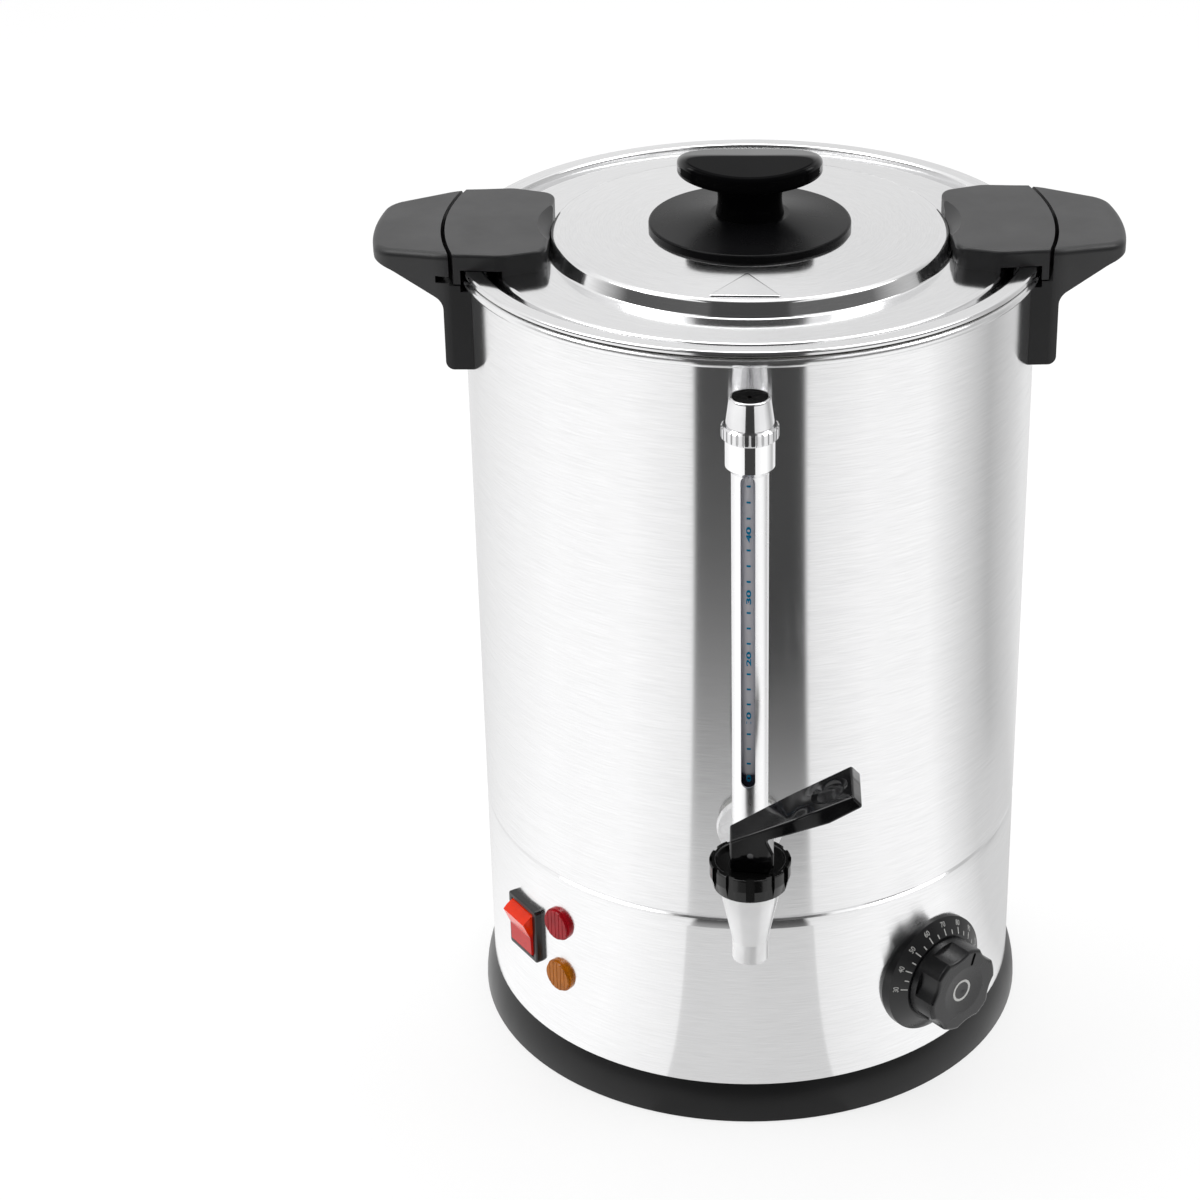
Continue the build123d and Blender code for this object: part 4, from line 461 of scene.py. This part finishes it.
# The pointer mark is pressed up from below: a triangle with rounded corners and a rounded border.
mark_corners = ((-0.001, -0.053), (-0.0168, -0.078), (0.0128, -0.0786))
mark_low, mark_rise = panel_high - 0.0002, 0.0009
mark_corner, mark_border, mark_rim = 0.0016, 0.0007, 0.0002
bpy.ops.mesh.primitive_circle_add(vertices=3, radius=0.01, fill_type="NGON", location=(0, 0, 0))
mark = bpy.context.object
for vertex, (across, deep) in zip(mark.data.vertices, mark_corners):
    vertex.co = (across, deep, mark_low)
bpy.ops.object.mode_set(mode="EDIT")
bpy.ops.mesh.select_all(action="SELECT")
bpy.ops.mesh.bevel(offset=mark_corner, segments=4, affect="VERTICES")
bpy.ops.mesh.extrude_region_move(TRANSFORM_OT_translate={"value": (0, 0, mark_rise)})
bpy.ops.mesh.bevel(offset=mark_border, segments=4, affect="EDGES")
bpy.ops.mesh.select_all(action="SELECT")
bpy.ops.mesh.normals_make_consistent(inside=False)
bpy.ops.mesh.select_mode(type="FACE")
bpy.ops.object.mode_set(mode="OBJECT")
for face in mark.data.polygons:
    face.select = face.normal.z > 0.999 and face.center.z > mark_low + mark_rise / 2
bpy.ops.object.mode_set(mode="EDIT")
bpy.ops.mesh.inset(thickness=mark_rim)
bpy.ops.mesh.select_mode(type="VERT")
bpy.ops.object.mode_set(mode="OBJECT")


def join(name, made):
    """Join meshes into the first one, named anew, which stays active."""
    bpy.ops.object.select_all(action="DESELECT")
    for each in made:
        each.select_set(True)
    bpy.context.view_layer.objects.active = made[0]
    bpy.ops.object.join()
    whole = bpy.context.object
    whole.name = whole.data.name = name
    return whole


lid_pan = join("lid_pan", [lid_pan, mark])
bpy.ops.object.shade_smooth_by_angle(angle=smooth_under)
bpy.ops.object.select_all(action="DESELECT")
lid_pan.data.materials.append(lid_steel)
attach(lid_pan, "lid")
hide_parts("lid")


# ---- Lid knob -----------------------------------------------------------------------------------
# A satin disc and a glossy saddle cap on a waisted neck, moulded in black plastic and held by one
# screw from inside the lid.
finish(moulded("knob_base_plastic", (0.004, 0.004, 0.0045), 0.26, 0.000004, bend=1.2), "knob_base")
knob_plastic = moulded("knob_plastic", (0.003, 0.003, 0.0033), 0.12, 0.000002, bend=1.06)
finish(knob_plastic, "lid_knob")

# A glossy coat lies only on the top and back of the cap's border, as a painted sheen placed to mirror the
# tent's back wall as a grey band; the hollow has none. The place is stretched so that the hollow's border
# lies at about 1 from its middle.
hollow_shift, hollow_stretch, border_span = (0.0, 0.33, 0.0), (36.0, 74.0, 0.0), (0.93, 1.08)
cap_low, cap_high, back_from, back_to = 0.390, 0.394, -0.012, -0.002
tree = knob_plastic.node_tree
place = object_place(tree)
_, deep, height = axes(tree, place)
hollow = wire(tree, "Mapping", {0: place, 1: hollow_shift, 3: hollow_stretch}).outputs[0]
spread = wire(tree, "VectorMath", {0: hollow}, operation="LENGTH").outputs[1]
border = slide(tree, spread, *border_span)
painted_sheen = maths(tree, "MULTIPLY", border, slide(tree, height, cap_low, cap_high))
painted_sheen = maths(tree, "MULTIPLY", painted_sheen, slide(tree, deep, back_from, back_to))
shader = tree.nodes["Principled BSDF"]
# The coat's weight is the painted sheen's mask.
tree.links.new(painted_sheen, shader.inputs["Coat Weight"])
shader.inputs["Coat IOR"].default_value = 2.6
shader.inputs["Coat Roughness"].default_value = 0.10


# ---- Lugs and handles ---------------------------------------------------------------------------
# Dark textured mouldings: two lugs screwed to the lid, and two handles screwed to the tank's wall
# over steel brackets. Each lug lies level with its handle across a narrow slit.
finish(moulded("grip_plastic", (0.016, 0.016, 0.017), 0.40, 0.00002), "lid_lug_left", "lid_lug_right",
       "handle_left", "handle_right")


# ---- Sight gauge --------------------------------------------------------------------------------
# A glass tube in a chrome guard that is slotted in front, with a knurled cap and a black vent plug.
# The scale is printed in blue on the glass, with a mark for every two and a half cups.
low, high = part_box("gauge_glass")
gauge_axis = Vector(((low.x + high.x) / 2, (low.y + high.y) / 2, 0.0))
glass_radius = high.x
bright_chrome, pale_chrome = (0.94, 0.94, 0.95), (0.98, 0.98, 0.985)
finish(plain_metal("chrome_plate", bright_chrome, 0.06, 0.000001, 300.0), "tap_nut", "gauge_cap")
finish(plain_metal("cast_chrome", pale_chrome, 0.22, 0.000003, 300.0, metal=0.4), "tap_body")
finish(plain_metal("shank_chrome", pale_chrome, 0.3, 0.000003, 300.0, metal=0.12), "tap_shank")

# The guard is satin outside, polished at its collar, and dull inside its bore.
bore_edge, collar_edge = (0.0066, 0.0069), (0.3235, 0.3262)
collar_rough, bore_rough = 0.06, 0.55
guard_steel, tree, shader = start_material("guard_steel")
place = object_place(tree)
centred = wire(tree, "Mapping", {0: place, 1: tuple(-gauge_axis)}).outputs[0]
bore = slide(tree, from_axis(tree, centred)[1], *bore_edge, low=1.0, high=0.0)
collar = slide(tree, axes(tree, centred)[2], *collar_edge)
satin = slide(tree, noise(tree, place, 320.0, 2.0), *noise_span, low=0.27, high=0.31)
rough = between(tree, bore, between(tree, collar, satin, collar_rough), bore_rough)
tree.links.new(rough, shader.inputs["Roughness"])
tree.links.new(mixed(tree, bore, (0.96, 0.96, 0.965), (0.86, 0.86, 0.92)), shader.inputs["Base Color"])
tree.links.new(maths(tree, "SUBTRACT", 1.0, bore), shader.inputs["Metallic"])
finish(guard_steel, "gauge_guard")
finish(moulded("vent_plastic", (0.003, 0.003, 0.003), 0.2, 0.000005, bend=1.12), "vent_plug")

# Thin glass: mostly seen through and a little milky. At its foot it is painted dark and less clear, a painted
# shade for the shadow low in the guard's slot.
foot_shade_edge, milky, shaded_alpha = (0.1895, 0.191), 0.45, 0.75
tube_glass, tree, shader = start_material("gauge_glass")
place = object_place(tree)
rough = slide(tree, noise(tree, place, 90.0, 3.0), 0.35, 0.7, low=0.05, high=0.10)
foot = slide(tree, axes(tree, place)[2], *foot_shade_edge, low=1.0, high=0.0)
tree.links.new(rough, shader.inputs["Roughness"])
# The dark colour below the edge is painted shade.
tree.links.new(mixed(tree, foot, (0.95, 0.95, 1.0), (0.045, 0.045, 0.075)), shader.inputs["Base Color"])
tree.links.new(between(tree, foot, milky, shaded_alpha), shader.inputs["Alpha"])
shader.inputs["IOR"].default_value = 1.47
finish(tube_glass, "gauge_glass")


def lettering(text, size, turn=0.0, bold=0.0):
    """Plain figures as a flat mesh round the origin, read from +Z; turned, in radians."""
    bpy.ops.object.text_add(location=(0, 0, 0))
    made = bpy.context.object
    made.data.body, made.data.size, made.data.offset = text, size, bold
    made.data.align_x = made.data.align_y = "CENTER"
    made.data.resolution_u = 4
    bpy.ops.object.convert(target="MESH")
    made = bpy.context.object
    low = min(vertex.co.y for vertex in made.data.vertices)
    high = max(vertex.co.y for vertex in made.data.vertices)
    made.data.transform(Matrix.Rotation(turn, 4, "Z") @ Matrix.Translation((0, -(low + high) / 2, 0)))
    return made


def stroke(width, length):
    """A printed stroke with softened ends, flat round the origin."""
    bpy.ops.mesh.primitive_plane_add(size=1.0, location=(0, 0, 0))
    made = bpy.context.object
    made.data.transform(Matrix.Diagonal((width, length, 1, 1)))
    bpy.ops.object.mode_set(mode="EDIT")
    bpy.ops.mesh.select_all(action="SELECT")
    bpy.ops.mesh.bevel(offset=min(width, length) / 4, segments=2, affect="VERTICES")
    bpy.ops.mesh.subdivide(number_cuts=2)
    bpy.ops.object.mode_set(mode="OBJECT")
    return made


# The guard's window is turned a little to the left, and the scale is centred in it.
window_turn = radians(-7.0)
print_lift = 0.00004


def wrap_on_glass(made, height):
    """Lay a flat print on the glass at a height, centred in the window."""
    for vertex in made.data.vertices:
        across, up, _ = vertex.co
        angle = window_turn + across / glass_radius
        out = glass_radius + print_lift
        vertex.co = gauge_axis + Vector((out * sin(angle), -out * cos(angle), height + up))


# A number stands at every fourth mark, for ten cups more, and lies along the tube.
first_mark, mark_step = 0.1881, 0.0275 / 4
marks, last_number = 20, 16
dash_wide, dash_high = 0.0017, 0.0009
number_high, number_long, number_bold = 0.0018, 0.0051, 0.0001
figure_share = 0.7  # of its type size, which a figure stands high
prints = []
for step in range(marks):
    if step % 4 == 0 and step <= last_number:
        made = lettering(str(step // 4 * 10), number_high / figure_share, radians(90), number_bold)
        made.data.transform(Matrix.Diagonal((1, number_long / made.dimensions.y, 1, 1)))
    else:
        made = stroke(dash_wide, dash_high)
    wrap_on_glass(made, first_mark + step * mark_step)
    prints.append(made)
gauge_scale = join("gauge_scale", prints)
bpy.ops.object.select_all(action="DESELECT")
gauge_scale.data.materials.append(moulded("scale_blue", (0.003, 0.20, 0.38), 0.6, 0.000004, bend=1.2))
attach(gauge_scale, "urn")


# ---- Tap ----------------------------------------------------------------------------------------
# Chromed cast body with a black screwed bonnet. The lever lifts a stem with a silicone cup off the
# seat against a spring.
finish(moulded("bonnet_plastic", (0.003, 0.003, 0.003), 0.16, 0.000004, bend=1.45), "tap_bonnet")
lever_plastic = moulded("lever_plastic", (0.003, 0.003, 0.0035), 0.10, 0.000002)
finish(lever_plastic, "tap_lever")
finish(plain_metal("spring_steel", (0.55, 0.55, 0.56), 0.25), "tap_stem", "tap_spring", "lever_pin")

# The lever's faces have sunk a little in the mould, so they mirror in swirls.
swirl_scale, swirl_depth = 26.0, 0.006
tree = lever_plastic.node_tree
sunk = noise(tree, object_place(tree), swirl_scale, 0.0, Distortion=1.0)
bend_skin(lever_plastic, bump(tree, sunk, swirl_depth))


# ---- Thermostat and dial ------------------------------------------------------------------------
# A capillary thermostat behind a black dial plate with pale numbers in degrees, and a fluted knob
# that is pushed onto the thermostat's shaft.
finish(moulded("dial_plastic", (0.009, 0.009, 0.010), 0.3, 0.000008), "dial_plate")
finish(moulded("dial_knob_plastic", (0.010, 0.010, 0.011), 0.27, 0.000008), "dial_knob")
finish(plain_metal("thermostat_tin", (0.58, 0.58, 0.58), 0.35), "thermostat", "thermostat_shaft")
finish(plain_metal("copper", (0.72, 0.33, 0.20), 0.3), "thermostat_bulb")
white_print = moulded("dial_white", (0.70, 0.70, 0.68), 0.5, 0.000004)

dial_turn = radians(41.6)
dial_out = Vector((sin(dial_turn), -cos(dial_turn), 0.0))
dial_across = Vector((cos(dial_turn), sin(dial_turn), 0.0))
low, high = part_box("dial_knob")
dial_centre = dial_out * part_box("skirt")[1].x + Vector((0, 0, (low.z + high.z) / 2))


def lay_on_dial(made, node, reach=0.05):
    """Lay a flat print on a CAD node of the dial, from in front of it."""
    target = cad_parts[node].data
    faces = BVHTree.FromPolygons([v.co for v in target.vertices], [p.vertices for p in target.polygons])
    for vertex in made.data.vertices:
        start = dial_centre + dial_across * vertex.co.x + Vector((0, 0, 1)) * vertex.co.y + dial_out * reach
        vertex.co = faces.ray_cast(start, -dial_out)[0] + dial_out * print_lift


# A mark stands for every five degrees, and a long one with a number for every ten.
first_degree, first_angle, angle_step, dial_marks = 30, -82.9, 11.24, 17
tick_wide, long_tick, short_tick = 0.00055, 0.0026, 0.0017
tick_radius, label_radius, label_size = 0.0206, 0.0249, 0.0028
dial_prints = []
for step in range(dial_marks):
    length = short_tick if step % 2 else long_tick
    printed = [(stroke(tick_wide, length), tick_radius + length / 2)]
    if step % 2 == 0:
        printed.append((lettering(str(first_degree + 5 * step), label_size), label_radius))
    for made, radius in printed:
        swung = Matrix.Rotation(-radians(first_angle + angle_step * step), 4, "Z")
        made.data.transform(swung @ Matrix.Translation((0, radius, 0)))
        dial_prints.append(made)
for made in dial_prints:
    lay_on_dial(made, "dial_plate")
dial_scale = join("dial_scale", dial_prints)
bpy.ops.object.select_all(action="DESELECT")
dial_scale.data.materials.append(white_print)
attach(dial_scale, "urn")

# The knob's face has a plain printed ring, a little off its middle.
ring_radius, ring_hole, ring_shift = 0.0052, 0.78, (-0.0009, 0.00035, 0)
bpy.ops.mesh.primitive_circle_add(vertices=64, radius=ring_radius, fill_type="NOTHING", location=(0, 0, 0))
knob_ring = bpy.context.object
knob_ring.name = knob_ring.data.name = "knob_ring"
bpy.ops.object.mode_set(mode="EDIT")
bpy.ops.mesh.select_all(action="SELECT")
bpy.ops.mesh.extrude_edges_move()
bpy.ops.transform.resize(value=(ring_hole, ring_hole, 1.0))
bpy.ops.object.mode_set(mode="OBJECT")
knob_ring.data.transform(Matrix.Translation(ring_shift))
lay_on_dial(knob_ring, "dial_knob")
knob_ring.data.materials.append(white_print)
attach(knob_ring, "dial")


# ---- Switch and lamps ---------------------------------------------------------------------------
# A rocker of clear red plastic with a neon lamp inside, in a black frame, and two ribbed lenses in
# front of neon holders.
def lens_plastic(name, colour, glow_colour, glow):
    """Clear coloured plastic over a small lamp."""
    material, tree, shader = start_material(name)
    cloud = noise(tree, object_place(tree), 240.0, 2.0)
    deep = tuple(0.55 * c for c in colour)
    tree.links.new(mixed(tree, cloud, deep, colour), shader.inputs["Base Color"])
    tree.links.new(mixed(tree, cloud, deep, glow_colour), shader.inputs["Emission Color"])
    shader.inputs["Emission Strength"].default_value = glow
    shader.inputs["Roughness"].default_value = 0.12
    shader.inputs["IOR"].default_value = 1.32
    shader.inputs["Transmission Weight"].default_value = 0.1
    return material


finish(moulded("bezel_plastic", (0.010, 0.010, 0.010), 0.3, 0.00001), "switch_housing")
rocker_plastic = lens_plastic("rocker_plastic", (0.80, 0.02, 0.008), (1.0, 0.05, 0.01), 0.16)
finish(rocker_plastic, "switch_rocker")
finish(lens_plastic("red_lens", (0.55, 0.008, 0.018), (0.9, 0.03, 0.05), 0.04), "heat_lamp_lens")
finish(lens_plastic("amber_lens", (0.66, 0.20, 0.006), (1.0, 0.35, 0.02), 0.05), "warm_lamp_lens")

# Painted light and shade: the rocker's upper half is painted brighter, as if lit by the lamp behind it, and
# its lower half is painted darker.
shaded_red, lit_red, painted_light_share = (0.50, 0.002, 0.012), (0.95, 0.04, 0.0), 0.75
tree = rocker_plastic.node_tree
shader = tree.nodes["Principled BSDF"]
low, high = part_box("switch_rocker")
middle = (low.z + high.z) / 2
half_edge = (middle - 0.001, middle + 0.002)
upper = slide(tree, axes(tree, object_place(tree))[2], *half_edge)
clouded = shader.inputs["Base Color"].links[0].from_socket
# This mix lays the painted light and shade over the clouded red.
painted_halves = mixed(tree, painted_light_share, clouded, mixed(tree, upper, shaded_red, lit_red))
tree.links.new(painted_halves, shader.inputs["Base Color"])


# ---- Mains inlet and terminals ------------------------------------------------------------------
# A three-pole appliance inlet at the back, screwed to the housing wall, and a terminal block inside.
# Its blades are brass, as the switch's are.
finish(moulded("inlet_plastic", (0.012, 0.012, 0.012), 0.38, 0.00001), "inlet_socket")
finish(plain_metal("terminal_brass", (0.70, 0.55, 0.28), 0.25), "inlet_pins", "switch_blades")
finish(moulded("terminal_plastic", (0.62, 0.60, 0.54), 0.5, 0.00002), "terminal_block")
